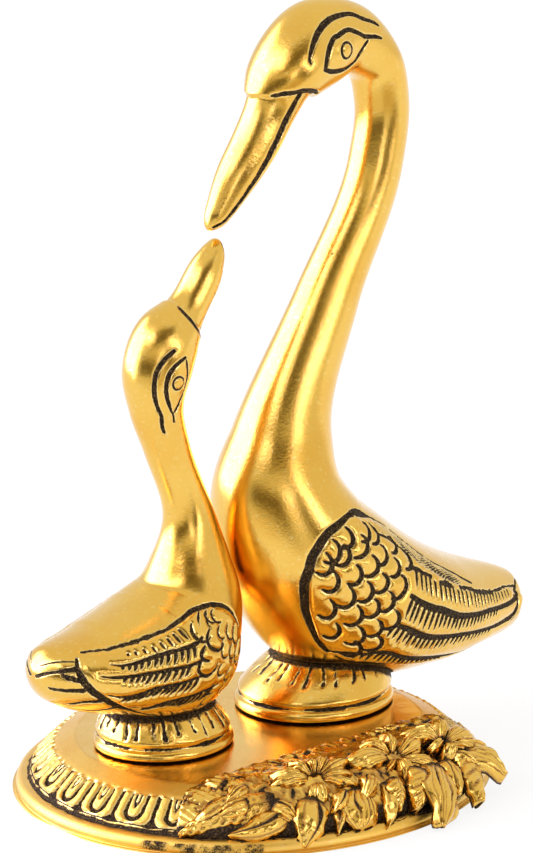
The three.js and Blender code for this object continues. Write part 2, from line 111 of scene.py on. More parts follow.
def through(points, pieces=6):
    # a smooth line through points, also for points of two numbers
    points = np.array(points, float)
    ends = [2 * points[0] - points[1], 2 * points[-1] - points[-2]]
    padded = np.vstack([ends[0], points, ends[1]])
    share = (np.arange(pieces) / pieces)[:, None]
    line = []
    for a, b, c, d in zip(padded, padded[1:], padded[2:], padded[3:]):
        line.append(0.5 * (2 * b + (c - a) * share + (2 * a - 5 * b + 4 * c - d) * share ** 2
                           + (3 * b - a - 3 * c + d) * share ** 3))
    return np.vstack(line + [points[-1:]])


def alongOf(line):
    return np.append(0, np.cumsum(np.linalg.norm(np.diff(line, axis=0), axis=1)))


# Mesh helpers
def gridFaces(rows, columns, closed, start=0):
    i, j = np.meshgrid(np.arange(rows - 1), np.arange(columns if closed else columns - 1), indexing="ij")
    a = (start + i * columns + j).ravel()
    b = (start + i * columns + (j + 1) % columns).ravel()
    return np.vstack([np.stack([a, b, b + columns], 1), np.stack([a, b + columns, a + columns], 1)])


def fanFaces(ring, middle):
    return np.stack([np.full(len(ring), middle), np.roll(ring, -1), ring], 1)


def stitchFaces(ringA, turnsA, ringB, turnsB):
    # joins two closed rings whose points stand at different angles
    faces = []
    i = j = 0
    while i < len(ringA) or j < len(ringB):
        nextA = turnsA[i + 1] if i + 1 < len(ringA) else 360
        nextB = turnsB[j + 1] if j + 1 < len(ringB) else 360
        a, b = ringA[i % len(ringA)], ringB[j % len(ringB)]
        if j >= len(ringB) or (i < len(ringA) and nextA <= nextB):
            i += 1
            faces.append((a, ringA[i % len(ringA)], b))
        else:
            j += 1
            faces.append((a, ringB[j % len(ringB)], b))
    return np.array(faces)


def circle(count):
    return np.linspace(0, 2 * np.pi, count, endpoint=False)


def closedRings(grids, turns):
    # points and faces of closed rings, grid after grid, stitched between the grids and capped at both ends.
    # Turns are the angles of each grid's columns, in degrees from the first.
    starts = np.cumsum([0] + [grid[..., 0].size for grid in grids])
    end = starts[-1]
    faces = [gridFaces(*grid.shape[:2], True, start) for grid, start in zip(grids, starts)]
    for k in range(1, len(grids)):
        below = np.arange(starts[k] - len(turns[k - 1]), starts[k])
        above = np.arange(starts[k], starts[k] + len(turns[k]))
        faces.append(stitchFaces(below, turns[k - 1], above, turns[k]))
    faces.append(fanFaces(np.arange(len(turns[0])), end))
    faces.append(fanFaces(np.arange(end - len(turns[-1]), end), end + 1)[:, ::-1])
    caps = [grids[0][0].mean(0)[None], grids[-1][-1].mean(0)[None]]
    return np.vstack([grid.reshape(-1, 3) for grid in grids] + caps), np.vstack(faces)


def facingOut(points, faces):
    a, b, c = points[faces[:, 0]], points[faces[:, 1]], points[faces[:, 2]]
    volume = np.einsum("ij,ij->i", a, np.cross(b, c)).sum()
    return faces if volume > 0 else faces[:, ::-1]


class Shell:
    # points in mm with their faces, the patina in cut lines (ink, mm inside the line's edge) and, from 0 to
    # 1, the darkening in gaps, corners and under sheets: real patina and stains together with painted shade
    # where other parts shelter the surface
    def __init__(self, points, faces, ink=None, grimeAndShade=None):
        self.points = points
        self.faces = facingOut(points - points.mean(0), faces)
        self.ink = np.full(len(points), -1.0) if ink is None else ink
        self.grimeAndShade = np.zeros(len(points)) if grimeAndShade is None else grimeAndShade

    def tree(self):
        return BVHTree.FromPolygons(self.points.tolist(), self.faces.tolist())


def gapsTo(points, tree, reach):
    # distance from each point to a surface, at most reach
    gaps = np.full(len(points), float(reach))
    for k, point in enumerate(points):
        gap = tree.find_nearest(Vector(point), reach)[3]
        if gap is not None:
            gaps[k] = gap
    return gaps


def joined(shells):
    # several shells as one set of points and faces, with where each one's points start
    starts = np.cumsum([0] + [len(shell.points) for shell in shells])
    faces = [shell.faces + start for shell, start in zip(shells, starts)]
    return np.vstack([shell.points for shell in shells]), np.vstack(faces), starts


def addPiece(name, shells, node, material):
    points, faces = joined(shells)[:2]
    low, high = (np.array(corner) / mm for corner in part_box(node))
    points = np.clip(points, low, high)
    mesh = bpy.data.meshes.new(name)
    mesh.from_pydata((points * mm).tolist(), [], faces.tolist())
    mesh.shade_smooth()
    for kind in ("ink", "grimeAndShade"):
        values = np.concatenate([getattr(shell, kind) for shell in shells])
        mesh.attributes.new(kind, "FLOAT", "POINT").data.foreach_set("value", values.astype(np.float32))
    mesh.materials.append(material)
    piece = bpy.data.objects.new(name, mesh)
    bpy.context.scene.collection.objects.link(piece)
    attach(piece, "root")
    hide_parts(node)
    print(f"{name}: {len(faces)} triangles")


# Shader helpers
class Wire:
    # a socket that takes part in number expressions
    def __init__(self, graph, socket):
        self.graph = graph
        self.socket = socket

    def combine(self, operation, first, second=None):
        inputs = {0: first} if second is None else {0: first, 1: second}
        return self.graph.wire("ShaderNodeMath", {"operation": operation}, inputs)

    def __add__(self, other):
        return self.combine("ADD", self, other)

    def __sub__(self, other):
        return self.combine("SUBTRACT", self, other)

    def __rsub__(self, other):
        return self.combine("SUBTRACT", other, self)

    def __mul__(self, other):
        return self.combine("MULTIPLY", self, other)

    def __truediv__(self, other):
        return self.combine("DIVIDE", self, other)

    __radd__ = __add__
    __rmul__ = __mul__

    def abs(self):
        return self.combine("ABSOLUTE", self)

    def most(self, other):
        return self.combine("MAXIMUM", self, other)

    def smooth(self, low, high):
        settings = {"interpolation_type": "SMOOTHSTEP"}
        return self.graph.wire("ShaderNodeMapRange", settings, {0: self, 1: low, 2: high, 3: 0.0, 4: 1.0})


class Graph:
    def __init__(self, tree):
        self.tree = tree
        tree.nodes.clear()

    def node(self, kind, settings=None, inputs=None):
        node = self.tree.nodes.new(kind)
        for name, value in (settings or {}).items():
            setattr(node, name, value)
        for name, value in (inputs or {}).items():
            if isinstance(value, Wire):
                self.tree.links.new(value.socket, node.inputs[name])
            else:
                node.inputs[name].default_value = value
        return node

    def wire(self, kind, settings=None, inputs=None, output=0):
        return Wire(self, self.node(kind, settings, inputs).outputs[output])

    def mixColors(self, share, first, second):
        return self.wire("ShaderNodeMix", {"data_type": "RGBA"}, {0: share, 6: first, 7: second}, 2)

    def noise(self, place, scale, detail=2.0, rough=0.5):
        return self.wire("ShaderNodeTexNoise", {}, {"Vector": place, "Scale": scale, "Detail": detail,
                                                    "Roughness": rough})


# The gilt finish: polished gold plating with brown patina left in the cut lines, dark patina together with
# painted shade in gaps and under sheets, a painted highlight in pale gold beside the cut lines, painted
# orange-brown shade in the spray's hollows, fine grain and small pits. Lumps are how many lumps of each
# unevenness lie along a metre, and the sandy part of the base starts between two distances from its axis, in
# metres.
gilt = {
    # pale serves random pale mottling and the painted highlight beside the cut lines; the orange-brown is
    # painted shade
    "gold": (0.90, 0.56, 0.104, 1), "drift": (0.86, 0.49, 0.07, 1), "pale": (0.96, 0.78, 0.36, 1),
    "patina": (0.014, 0.008, 0.004, 1), "worn": (0.13, 0.080, 0.040, 1), "hollowShade": (0.40, 0.175, 0.03, 1),
    "roughness": 0.13, "patinaRoughness": 0.6, "coat": 0.4, "coatRoughness": 0.22, "patinaGloss": 0.15,
    "sandFrom": 0.0436, "sandTo": 0.0452, "bump": 0.6, "bumpDepth": 0.00005,
    "lumps": {"broad": 70, "rare": 190, "pit": 260, "coarse": 620, "bloom": 900, "grain": 1300,
              "scratch": 1500, "worn": 1700, "ragged": 2600, "fleck": 3600, "fine": 5600},
}


def makeGilt(name, sandy=0.0, hollowShade=0.0):
    material = bpy.data.materials.new(name)
    material.use_nodes = True
    graph = Graph(material.node_tree)
    place = graph.wire("ShaderNodeTexCoord", output=3)
    ink = graph.wire("ShaderNodeAttribute", {"attribute_name": "ink"}, output=2)
    grimeAndShade = graph.wire("ShaderNodeAttribute", {"attribute_name": "grimeAndShade"}, output=2)
    lumps = gilt["lumps"]
    ragged = graph.noise(place, lumps["ragged"], 3.0, 0.65)
    coarse = graph.noise(place, lumps["coarse"])
    broad = graph.noise(place, lumps["broad"])
    edge = ink + (ragged - 0.5) * 0.34 + (coarse - 0.5) * 0.22
    line = edge.smooth(-0.10, 0.03)
    # dark patina in gaps together with painted shade, from the mesh's second attribute, made ragged
    corner = (grimeAndShade + (ragged - 0.5) * 0.9 + (coarse - 0.5) * 0.5).smooth(0.38, 0.75)
    flecks = graph.noise(place, lumps["fleck"], 2.0, 0.7).smooth(0.58, 0.72)
    dark = line.most(corner) * (1 - flecks * 0.6)
    cells = graph.wire("ShaderNodeTexVoronoi", {"feature": "F1"}, {"Vector": place, "Scale": lumps["pit"]})
    pit = (1 - cells.smooth(0.03, 0.11)) * graph.noise(place, lumps["rare"], 1.0).smooth(0.60, 0.68)
    # painted highlight: the rim beside each cut line is painted pale gold and made a little smoother
    edgeGlint = edge.smooth(-0.38, -0.12) * (1 - line)
    gold = graph.mixColors(broad.smooth(0.35, 0.75), gilt["gold"], gilt["drift"])
    bloom = graph.noise(place, lumps["bloom"]).smooth(0.55, 0.8)
    gold = graph.mixColors(bloom * 0.35, gold, gilt["pale"])
    if hollowShade > 0:
        # painted shade: deep orange-brown in the spray's hollows, in its sheltered gaps and beside its cut
        # lines
        folds = (grimeAndShade + (coarse - 0.5) * 0.6).smooth(0.05, 0.45)
        gold = graph.mixColors(edge.smooth(-0.75, -0.2).most(folds) * hollowShade, gold, gilt["hollowShade"])
    else:
        gold = graph.mixColors(edgeGlint * 0.55, gold, gilt["pale"])
    worn = graph.noise(place, lumps["worn"], 3.0, 0.7).smooth(0.48, 0.74)
    patina = graph.mixColors(worn, gilt["patina"], gilt["worn"])
    color = graph.mixColors(dark.most(pit * 0.6), gold, patina)
    grain = graph.noise(place, lumps["grain"], 3.0, 0.75)
    fine = graph.noise(place, lumps["fine"], 1.0)
    scratch = graph.noise(place, lumps["scratch"], 3.0, 0.7)
    sand = 0.0
    if sandy > 0:
        flat = graph.wire("ShaderNodeVectorMath", {"operation": "MULTIPLY"}, {0: place, 1: (1, 1, 0)})
        radius = graph.wire("ShaderNodeVectorMath", {"operation": "LENGTH"}, {0: flat}, 1)
        sand = radius.smooth(gilt["sandFrom"], gilt["sandTo"]) * sandy
    roughness = gilt["roughness"] + (grain - 0.5) * 0.14 + (broad - 0.5) * 0.06 + sand * 0.22
    roughness = roughness - edgeGlint * 0.04 + dark * (gilt["patinaRoughness"] - gilt["roughness"])
    height = grain * 1.5 + fine * 0.4 + scratch * 0.5 - pit * 2.5 - dark * 0.9
    if sandy > 0:
        height = height + (grain * 1.6 + fine * 1.2) * sand
    bump = graph.wire("ShaderNodeBump", {}, {"Strength": gilt["bump"], "Distance": gilt["bumpDepth"],
                                             "Height": height})
    shader = graph.wire("ShaderNodeBsdfPrincipled", {}, {
        "Base Color": color, "Metallic": 1 - dark * 0.9, "Roughness": roughness, "Normal": bump,
        "Coat Weight": (1 - dark) * gilt["coat"], "Coat Roughness": gilt["coatRoughness"],
        "Specular IOR Level": gilt["patinaGloss"]})
    graph.node("ShaderNodeOutputMaterial", {}, {0: shader})
    return material


duckGilt = makeGilt("duckGilt")
baseGilt = makeGilt("baseGilt", sandy=1.0)
sprayGilt = makeGilt("sprayGilt", hollowShade=0.8)


def patch(turn, rise, wide, tall, soft, light, roll=0):
    # a panel or a flag. In degrees: turn from +X towards +Y, rise above the floor, width, height, and the
    # roll that lowers its right end. Light is what a panel adds, or the share that a flag takes away.
    return {"turn": turn, "rise": rise, "wide": wide, "tall": tall, "soft": soft, "light": light,
            "roll": roll}


# The room: an even pale surround, bright panels on the left and a narrow bright strip on the right, and dim
# warm flags on the side that the picture is taken from.
room = {
    "surround": 0.86, "white": (1, 0.97, 0.86, 1), "warm": (1, 0.84, 0.50, 1), "cool": (1, 0.985, 1.35, 1),
    "panels": [
        patch(133, 16, 66, 56, 0.4, 4.4),
        patch(176, 43, 52, 15, 0.5, 2.8),
        patch(-86, 15, 52, 5.5, 0.5, 4.6, 42),
        patch(-116, 11, 18, 12, 0.6, 1.6),
    ],
    "flags": [
        patch(-127, 42, 66, 29, 0.3, 0.72),
        patch(-126, 36, 40, 12, 0.6, 0.40),
        patch(-103, 22, 24, 11, 0.4, 0.72, 40),
        patch(-152, 6, 60, 21, 0.25, 0.80, 8),
        patch(-97, 4, 34, 15, 0.4, 0.60, 30),
        patch(-84, -5, 46, 15, 0.5, 0.55, 24),
        patch(-104, -22, 60, 26, 0.5, 0.22),
    ],
    "floor": (0.15, 0.15, 0.149, 1), "floorGlow": 0.86, "floorLow": -0.0002,
    "floorFront": 0.25, "floorFar": 8.0, "frontTurn": -127,
}


def patchMask(graph, direction, panel):
    # 1 in the directions that a patch fills, fading to 0 across its soft edge
    turn, rise = math.radians(panel["turn"]), math.radians(panel["rise"])
    ahead = Vector((math.cos(turn) * math.cos(rise), math.sin(turn) * math.cos(rise), math.sin(rise)))
    aside = Vector((-math.sin(turn), math.cos(turn), 0))
    aside = Matrix.Rotation(math.radians(-panel["roll"]), 3, ahead) @ aside
    parts = []
    for axis in (ahead, aside, ahead.cross(aside)):
        parts.append(graph.wire("ShaderNodeVectorMath", {"operation": "DOT_PRODUCT"},
                                {0: direction, 1: tuple(axis)}, 1))
    mask = parts[0].smooth(0.0, 0.1)
    for part, size in ((parts[1], panel["wide"]), (parts[2], panel["tall"])):
        edge = math.tan(math.radians(size / 2))
        away = (part / parts[0].most(0.01)).abs()
        mask = mask * (1 - away.smooth(edge * (1 - panel["soft"]), edge * (1 + panel["soft"] / 2)))
    return mask


def makeRoom():
    world = bpy.data.worlds.new("studio")
    bpy.context.scene.world = world
    world.use_nodes = True
    graph = Graph(world.node_tree)
    direction = graph.wire("ShaderNodeTexCoord", output=0)
    light, shade = room["surround"], 0.0
    for flag in room["flags"]:
        mask = patchMask(graph, direction, flag)
        light = (1 - mask * flag["light"]) * light
        shade = mask.most(shade)
    color = graph.mixColors(shade * shade, room["white"], room["warm"])
    for panel in room["panels"]:
        mask = patchMask(graph, direction, panel)
        light = light + mask * panel["light"]
        color = graph.mixColors(mask, color, room["cool"])
    shader = graph.wire("ShaderNodeBackground", {}, {"Color": color, "Strength": light})
    blank = graph.wire("ShaderNodeBackground", {}, {"Color": (1, 1, 1, 1), "Strength": 1.0})
    seen = graph.wire("ShaderNodeLightPath")
    both = graph.wire("ShaderNodeMixShader", {}, {0: seen, 1: shader, 2: blank})
    graph.node("ShaderNodeOutputWorld", {}, {0: both})


def makeFloor():
    paper = bpy.data.materials.new("palePaper")
    paper.use_nodes = True
    graph = Graph(paper.node_tree)
    glow = graph.wire("ShaderNodeEmission", {}, {"Color": (1, 1, 1, 1), "Strength": room["floorGlow"]})
    matt = graph.wire("ShaderNodeBsdfDiffuse", {}, {"Color": room["floor"]})
    both = graph.wire("ShaderNodeAddShader", {}, {0: glow, 1: matt})
    graph.node("ShaderNodeOutputMaterial", {}, {0: both})
    far, front = room["floorFar"], -room["floorFront"]
    mesh = bpy.data.meshes.new("floor")
    mesh.from_pydata([(front, -far, 0), (far, -far, 0), (far, far, 0), (front, far, 0)], [], [(0, 1, 2, 3)])
    mesh.materials.append(paper)
    floor = bpy.data.objects.new("floor", mesh)
    floor.location.z = room["floorLow"]
    floor.rotation_euler.z = math.radians(room["frontTurn"] + 180)
    bpy.context.scene.collection.objects.link(floor)


makeRoom()
makeFloor()
bpy.context.scene.view_settings.view_transform = "Standard"
print("room ready")


# The sweep of a duck's body, from the end of the tail to the tip of the beak
class Spine:
    def __init__(self, duck):
        self.duck = duck
        self.rows = np.array(duck["stations"], float)
        self.at = alongOf(self.rows[:, :2]) + duck["start"]
        steep = np.diff(self.rows, axis=0) / np.diff(self.at)[:, None]
        share = ((self.at[2:] - self.at[1:-1]) / (self.at[2:] - self.at[:-2]))[:, None]
        self.slopes = np.vstack([steep[0], steep[:-1] * share + steep[1:] * (1 - share), steep[-1]])
        self.length = self.at[-1]

    def values(self, u):
        k = np.clip(np.searchsorted(self.at, u) - 1, 0, len(self.at) - 2)
        span = (self.at[k + 1] - self.at[k])[..., None]
        t = (u - self.at[k])[..., None] / span
        late = 3 * t ** 2 - 2 * t ** 3
        first = (1 - late) * self.rows[k] + (t ** 3 - 2 * t ** 2 + t) * span * self.slopes[k]
        return first + late * self.rows[k + 1] + (t ** 3 - t ** 2) * span * self.slopes[k + 1]

    def skin(self, u, angle, lift=0.0):
        # the point at u mm from the tail, at an angle from the middle of the back; negative angles are on
        # the -Y side. Lift is along the way out of the skin.
        u, angle, lift = np.broadcast_arrays(*(np.asarray(value, float) for value in (u, angle, lift)))
        duck = self.duck
        x, z, back, belly, wide = np.moveaxis(self.values(u), -1, 0)
        ahead, behind = np.minimum(u + 0.4, self.length), np.maximum(u - 0.4, duck["start"])
        along = (self.values(ahead) - self.values(behind))[..., :2]
        along = along / np.linalg.norm(along, axis=-1, keepdims=True) * duck["facing"]
        c, s = np.cos(np.radians(angle)), np.sin(np.radians(angle))
        tall = np.where(c > 0, back, belly)
        ends = 1.0
        for gap in ((u - duck["start"]) / duck["tailCap"], (self.length - u) / duck["tipCap"]):
            ends = ends * np.sqrt(1 - (1 - np.clip(gap, 0, 1)) ** 2)
        out = np.stack([-along[..., 1] * c / tall, s / wide, along[..., 0] * c / tall], -1)
        out = out / np.linalg.norm(out, axis=-1, keepdims=True)
        skin = np.stack([x - along[..., 1] * tall * c * ends, duck["y"] + wide * s * ends,
                         z + along[..., 0] * tall * c * ends], -1)
        return skin + out * lift[..., None]

    def perDegree(self, u, angle):
        # mm on the skin for one degree of angle
        return float(np.linalg.norm(self.skin(u, angle + 0.5) - self.skin(u, angle - 0.5)))

    def step(self, spot, tailward, downward):
        # the spot (u, angle) moved by mm along the skin, downward being away from the back
        u, angle = spot
        return (u - tailward, angle + downward / self.perDegree(u, angle))


class Carving:
    # what chisel lines do to points on a skin: how deep they sink, the ink in the lines, and how near the
    # closest line's edge is
    def __init__(self, points, seed):
        self.points = points
        self.sink = np.zeros(len(points))
        self.ink = np.full(len(points), -1.0)
        self.near = np.full(len(points), 9.0)
        self.wobble = field(points, 0.9, seed) * 0.6 + field(points, 0.45, seed + 1) * 0.4

    def cut(self, line, half, depth, ragged):
        # half widths in mm are spread evenly along the line
        along = alongOf(line)
        half = np.interp(along / along[-1], np.linspace(0, 1, len(half)), half)
        reach = half.max() + 2.2
        inBox = (self.points > line.min(0) - reach) & (self.points < line.max(0) + reach)
        picked = np.flatnonzero(inBox.all(1))
        for part in np.array_split(picked, len(picked) // 6000 + 1):
            if len(part) == 0:
                continue
            ways = np.diff(line, axis=0)
            offset = self.points[part][:, None] - line[None, :-1]
            share = np.clip((offset * ways).sum(2) / ((ways * ways).sum(1) + 1e-9), 0, 1)
            gaps = np.linalg.norm(offset - share[..., None] * ways, axis=2)
            widths = half[:-1] + share * (half[1:] - half[:-1])
            best = (widths - gaps).argmax(1)
            rows = np.arange(len(part))
            gap, width = gaps[rows, best], widths[rows, best]
            width = width + self.wobble[part] * ragged
            self.ink[part] = np.maximum(self.ink[part], width - gap)
            self.near[part] = np.minimum(self.near[part], np.maximum(gap - width, 0))
            profile = (1 - np.clip(gap / (width * 1.35 + 0.12), 0, 1) ** 2) ** 2
            self.sink[part] = np.maximum(self.sink[part], depth * profile * np.clip(width / 0.3, 0.2, 1))


def insideOf(u, angle, outline):
    # whether each (u, angle) lies within a closed outline
    inside = np.zeros(u.shape, bool)
    for (u0, a0), (u1, a1) in zip(outline, np.roll(outline, -1, axis=0)):
        crosses = (a0 > angle) != (a1 > angle)
        inside ^= crosses & (u < (u1 - u0) * (angle - a0) / (a1 - a0 + 1e-12) + u0)
    return inside


# What is cut into the ducks. Places on the skin are (mm from the tail, degrees from the back).
def stroke(half, depth, *path, ragged=0.10):
    # one chisel line through places on the skin, with its half widths from one end to the other, in mm
    return {"path": path, "half": half, "depth": depth, "ragged": ragged}


def barbRow(long, lean, *path, pitch=1.7, half=(0.42, 0.34, 0.08), depth=0.4, gap=0.1):
    # a row of short cuts that start along a path: their lengths from one end of the row to the other, how
    # far they lean to the tail, how far apart they are, and the gap between the path and their starts
    return {"path": path, "long": long, "lean": lean, "pitch": pitch, "half": half, "depth": depth,
            "gap": gap}


# Each duck. Stations are (x, z, back, belly, wide): the middle of a section, its half heights towards the
# back and the belly, and its half width. Rows and angles are stretches, each (from, to, step).
largeDuck = {
    "name": "large_duck_casting", "node": "large_duck", "seed": 3, "bold": 1.3,
    "y": 4.8, "facing": -1, "start": 1.9, "tailCap": 4.5, "tipCap": 4.4, "inset": 0.12,
    "stations": [
        (93.6, 26.5, 7.2, 6.4, 6.8), (88, 27, 9, 9, 9.5), (75, 30, 11, 14, 15.5), (62, 33.5, 13, 18.5, 21),
        (31.5, 48.5, 17.5, 27, 25), (21, 60.5, 16, 23, 23), (16.5, 72.5, 14, 18.5, 18.5),
        (17.5, 86, 12.5, 13, 13.5), (33, 118.5, 8.5, 8.5, 8.5), (50.5, 152, 7, 7, 7.5),
        (53, 167, 7, 7, 7.5), (51, 177.5, 6.5, 7.5, 8.5), (42.5, 184, 9.5, 9, 9),
        (31.5, 183.5, 12, 11, 10.5), (21, 177, 8.5, 9.5, 10.5), (18, 171, 8, 7.5, 8),
        (11.5, 161.5, 6.5, 6.5, 6.5), (4.5, 152.5, 5.1, 5.1, 5.3), (-2, 144, 2.9, 2.9, 3.2),
        (-4, 142, 2.2, 2.2, 2.5),
    ],
    "carvedRows": [(2.05, 6, 0.42), (6, 93, 0.38)],
    "carvedAngles": [(0, 38, 3.5), (38, 150, 1.2), (150, 180, 3)],
    "plainRows": [(93, 205, 1.6), (205, 214, 0.9), (214, 254, 0.42), (254, 284, 0.65), (284, 287.4, 0.3)],
    "plainAngles": [(0, 44, 4), (44, 140, 1.9), (140, 180, 4)],
    "wing": {
        "raise": 0.55, "pillow": 0.42, "pillowReach": 1.7,
        "outline": [
            (89.6, 68), (90.2, 91), (89.9, 101), (88.6, 110), (87, 118), (82.9, 130), (78.1, 138),
            (70.7, 144), (63, 144), (56.3, 138), (45.1, 139), (33, 141), (20, 136), (11, 122), (7, 104),
            (5, 84), (6, 66), (14.8, 56), (23.7, 62), (33.3, 62), (44.8, 60), (55, 57), (66, 50), (74, 47),
            (82, 51),
        ],
        "lines": [
            stroke((0.45, 0.75, 0.9, 0.95, 0.95, 0.85, 0.6, 0.5), 0.75, (89.4, 69), (90.2, 76), (90.2, 91),
                   (89.9, 101), (88.6, 110), (87, 118), (84.8, 124), (82.9, 130), (80.6, 134), (78.1, 138),
                   (75.8, 140), (73.3, 142), (70.7, 144), (66.9, 145)),
            stroke((0.5, 0.9, 0.8, 0.4), 0.35, (90.3, 73), (89.2, 65), (87, 58), (83.5, 50), ragged=0.5),
            stroke((0.3, 0.16, 0.2, 0.16, 0.25, 0.3), 0.25, (83.5, 50), (80.6, 47), (77.1, 44), (73.9, 42),
                   (68.5, 43), (62.1, 44), (56.3, 46), (51.2, 48), (45.8, 49), (40.7, 51), (37.5, 54),
                   (33.5, 57), ragged=0.22),
            stroke((0.35, 0.3, 0.3, 0.35), 0.35, (82.5, 58), (78.4, 60), (73.9, 56), (70.1, 56), (67.2, 56),
                   (64.3, 59), (62.4, 66), ragged=0.2),
            stroke((0.55, 0.5, 0.5), 0.4, (63, 67), (60, 66), (57.6, 66), (53.8, 66), ragged=0.45),
            stroke((0.4, 0.6, 0.5), 0.4, (49.9, 68), (46.8, 67), (44, 68), ragged=0.5),
            stroke((0.45, 0.65, 0.6, 0.5), 0.4, (40.5, 66), (36, 65), (30, 67), (23.7, 66), ragged=0.55),
            stroke((0.35, 0.3, 0.25), 0.3, (23.7, 66), (19, 62), (14.8, 57), (9.5, 56), ragged=0.4),
            stroke((0.45, 0.75, 0.7, 0.62, 0.5, 0.46, 0.5, 0.6), 0.6, (60.2, 90), (57, 91), (52.2, 92),
                   (47, 92), (40.7, 94), (33.6, 93), (25.9, 90), (18.6, 87), (13.2, 82), (10, 76),
                   (8.7, 68)),
            stroke((0.45, 0.7, 0.62, 0.5, 0.44, 0.46, 0.66, 0.8), 0.6, (59.5, 108), (56.3, 108),
                   (51.8, 110), (47.7, 111), (42.3, 111), (36.2, 110), (28.2, 110), (20.2, 111),
                   (15.1, 108), (10.9, 103), (9.2, 94)),
            stroke((0.3, 0.4, 0.5, 0.6, 0.75, 0.7, 0.5, 0.4, 0.35, 0.3), 0.6, (66.9, 144.5), (65.6, 140),
                   (63.7, 136), (60.8, 132), (58.9, 128), (56, 126.5), (53.1, 128), (48, 130), (40.7, 132),
                   (33.9, 134), (27.9, 133.5), (20, 131), (13, 123)),
            stroke((0.1, 0.25, 0.4), 0.35, (3.4, 20), (5.5, 38), (8.4, 57), (10.2, 66)),
            stroke((0.5, 0.45, 0.3), 0.5, (9.2, 94), (8.8, 84), (9, 78), (11, 72)),
            stroke((0.2, 0.3, 0.2), 0.3, (7, 104), (9, 108), (11, 113)),
        ],
        "scales": [
            (84.5, 101), (85.3, 114), (82.9, 86), (80.5, 66), (72.3, 60), (75.8, 77), (65.3, 64), (79, 102),
            (77.1, 90), (70.1, 78), (81.6, 116), (73.9, 104), (71.7, 94), (65.9, 88), (76.5, 114),
            (71.7, 118), (69.4, 108), (67.2, 100), (62.9, 107), (77, 127), (72, 133), (67.5, 126),
            (65.3, 116), (62.5, 124), (65.4, 134), (84.2, 73), (87.2, 92), (86.7, 106),
        ],
        "scale": {"tailward": 2.75, "down": 2.7, "span": (-62, 122), "half": (0.2, 0.42, 0.52, 0.46, 0.24),
                  "depth": 0.5},
        "barbs": [
            barbRow((3.6, 5.2, 5.4, 4.8, 2.8), 1.9, (80, 47.5), (73.9, 43), (68.5, 43.5), (62.1, 44.5),
                    (56.3, 46.5), (51.2, 48.5), (44, 50), pitch=1.9, half=(0.09, 0.16, 0.07), depth=0.16,
                    gap=0.4),
            barbRow((3.4, 4.0, 3.8, 3.4, 2.6, 1.8), 0.28, (60.5, 67), (53.8, 67.5), (44.8, 69), (36, 67.5),
                    (28, 67.5), (19, 64.5), (14.5, 60), pitch=1.95, half=(0.34, 0.3, 0.1), gap=0.6),
            barbRow((5.0, 4.8, 3.8, 3.0, 2.4, 1.8, 1.3), 0.12, (59.4, 92.5), (52.2, 94), (47, 94),
                    (40.7, 96), (33.6, 95), (25.9, 92), (19.5, 89.5), pitch=1.8, half=(0.42, 0.36, 0.12),
                    depth=0.45, gap=0.2),
            barbRow((3.2, 3.4, 3.2, 2.6, 1.8, 1.3, 0.9), 0.06, (60.5, 110), (56.3, 110), (51.8, 112),
                    (42.3, 113), (36.2, 112), (28.2, 112), (21, 113), pitch=1.85, half=(0.42, 0.34, 0.12),
                    depth=0.45, gap=0.3),
            barbRow((2.2, 2.6, 2.2, 1.8, 1.4), 0.1, (62.5, 134), (60.5, 131.5), (56, 128.5), (50.6, 131),
                    (45.1, 133), (36, 135), pitch=1.8, half=(0.42, 0.36, 0.18), depth=0.45),
        ],
    },
    "head": [
        stroke((0.5, 0.55, 0.52, 0.5, 0.46, 0.42, 0.42, 0.3), 0.5, (238.2, 100), (236.3, 88), (233.1, 74),
               (230.6, 72), (227.7, 70), (225.1, 76), (222.2, 81.5), (217.6, 73)),
        stroke((0.42, 0.52, 0.54, 0.46, 0.38, 0.3), 0.45, (238.4, 100), (235.7, 113), (230.6, 122),
               (226.4, 120), (224.5, 108), (221.9, 88)),
        stroke((0.2, 0.45, 0.62, 0.68, 0.62, 0.55, 0.5, 0.45, 0.4), 0.55, (240.6, 76), (240.2, 70),
               (237.9, 62), (235, 55), (231.5, 50), (228, 48), (225.1, 48), (222.6, 54), (218.7, 52)),
    ],
    "eye": {"spot": (229.9, 94), "radii": (1.85, 1.95), "half": 0.24, "bulge": 0.75, "reach": 3.4},
    "beak": {
        "root": [(0, 252), (22, 251.3), (42, 250.7), (64, 248.8), (93, 246.9), (134, 244.6), (180, 243.4)],
        "step": 0.9, "fade": 20,
        "lines": [
            stroke((0.2, 0.42, 0.5, 0.6, 0.6, 0.5), 0.6, (250.6, 44), (248.8, 64), (247.9, 80), (246.9, 93),
                   (245.6, 112), (244.6, 134), ragged=0.22),
            stroke((0.6, 0.85, 0.85, 0.8, 0.75, 0.6, 0.3), 0.8, (247.4, 97), (254.9, 101), (262.2, 106),
                   (270.5, 112), (278, 115), (283.5, 108), (286.4, 92), ragged=0.25),
        ],
    },
    "foot": {"x": 24.8, "radius": 20.8, "topRadius": 15.4, "height": 12.6, "shift": 3.8, "strokes": 27,
             "strokeLow": (0.6, 0.74), "ring": 2.6, "groove": 1.1, "columns": 200, "rows": 34},
}
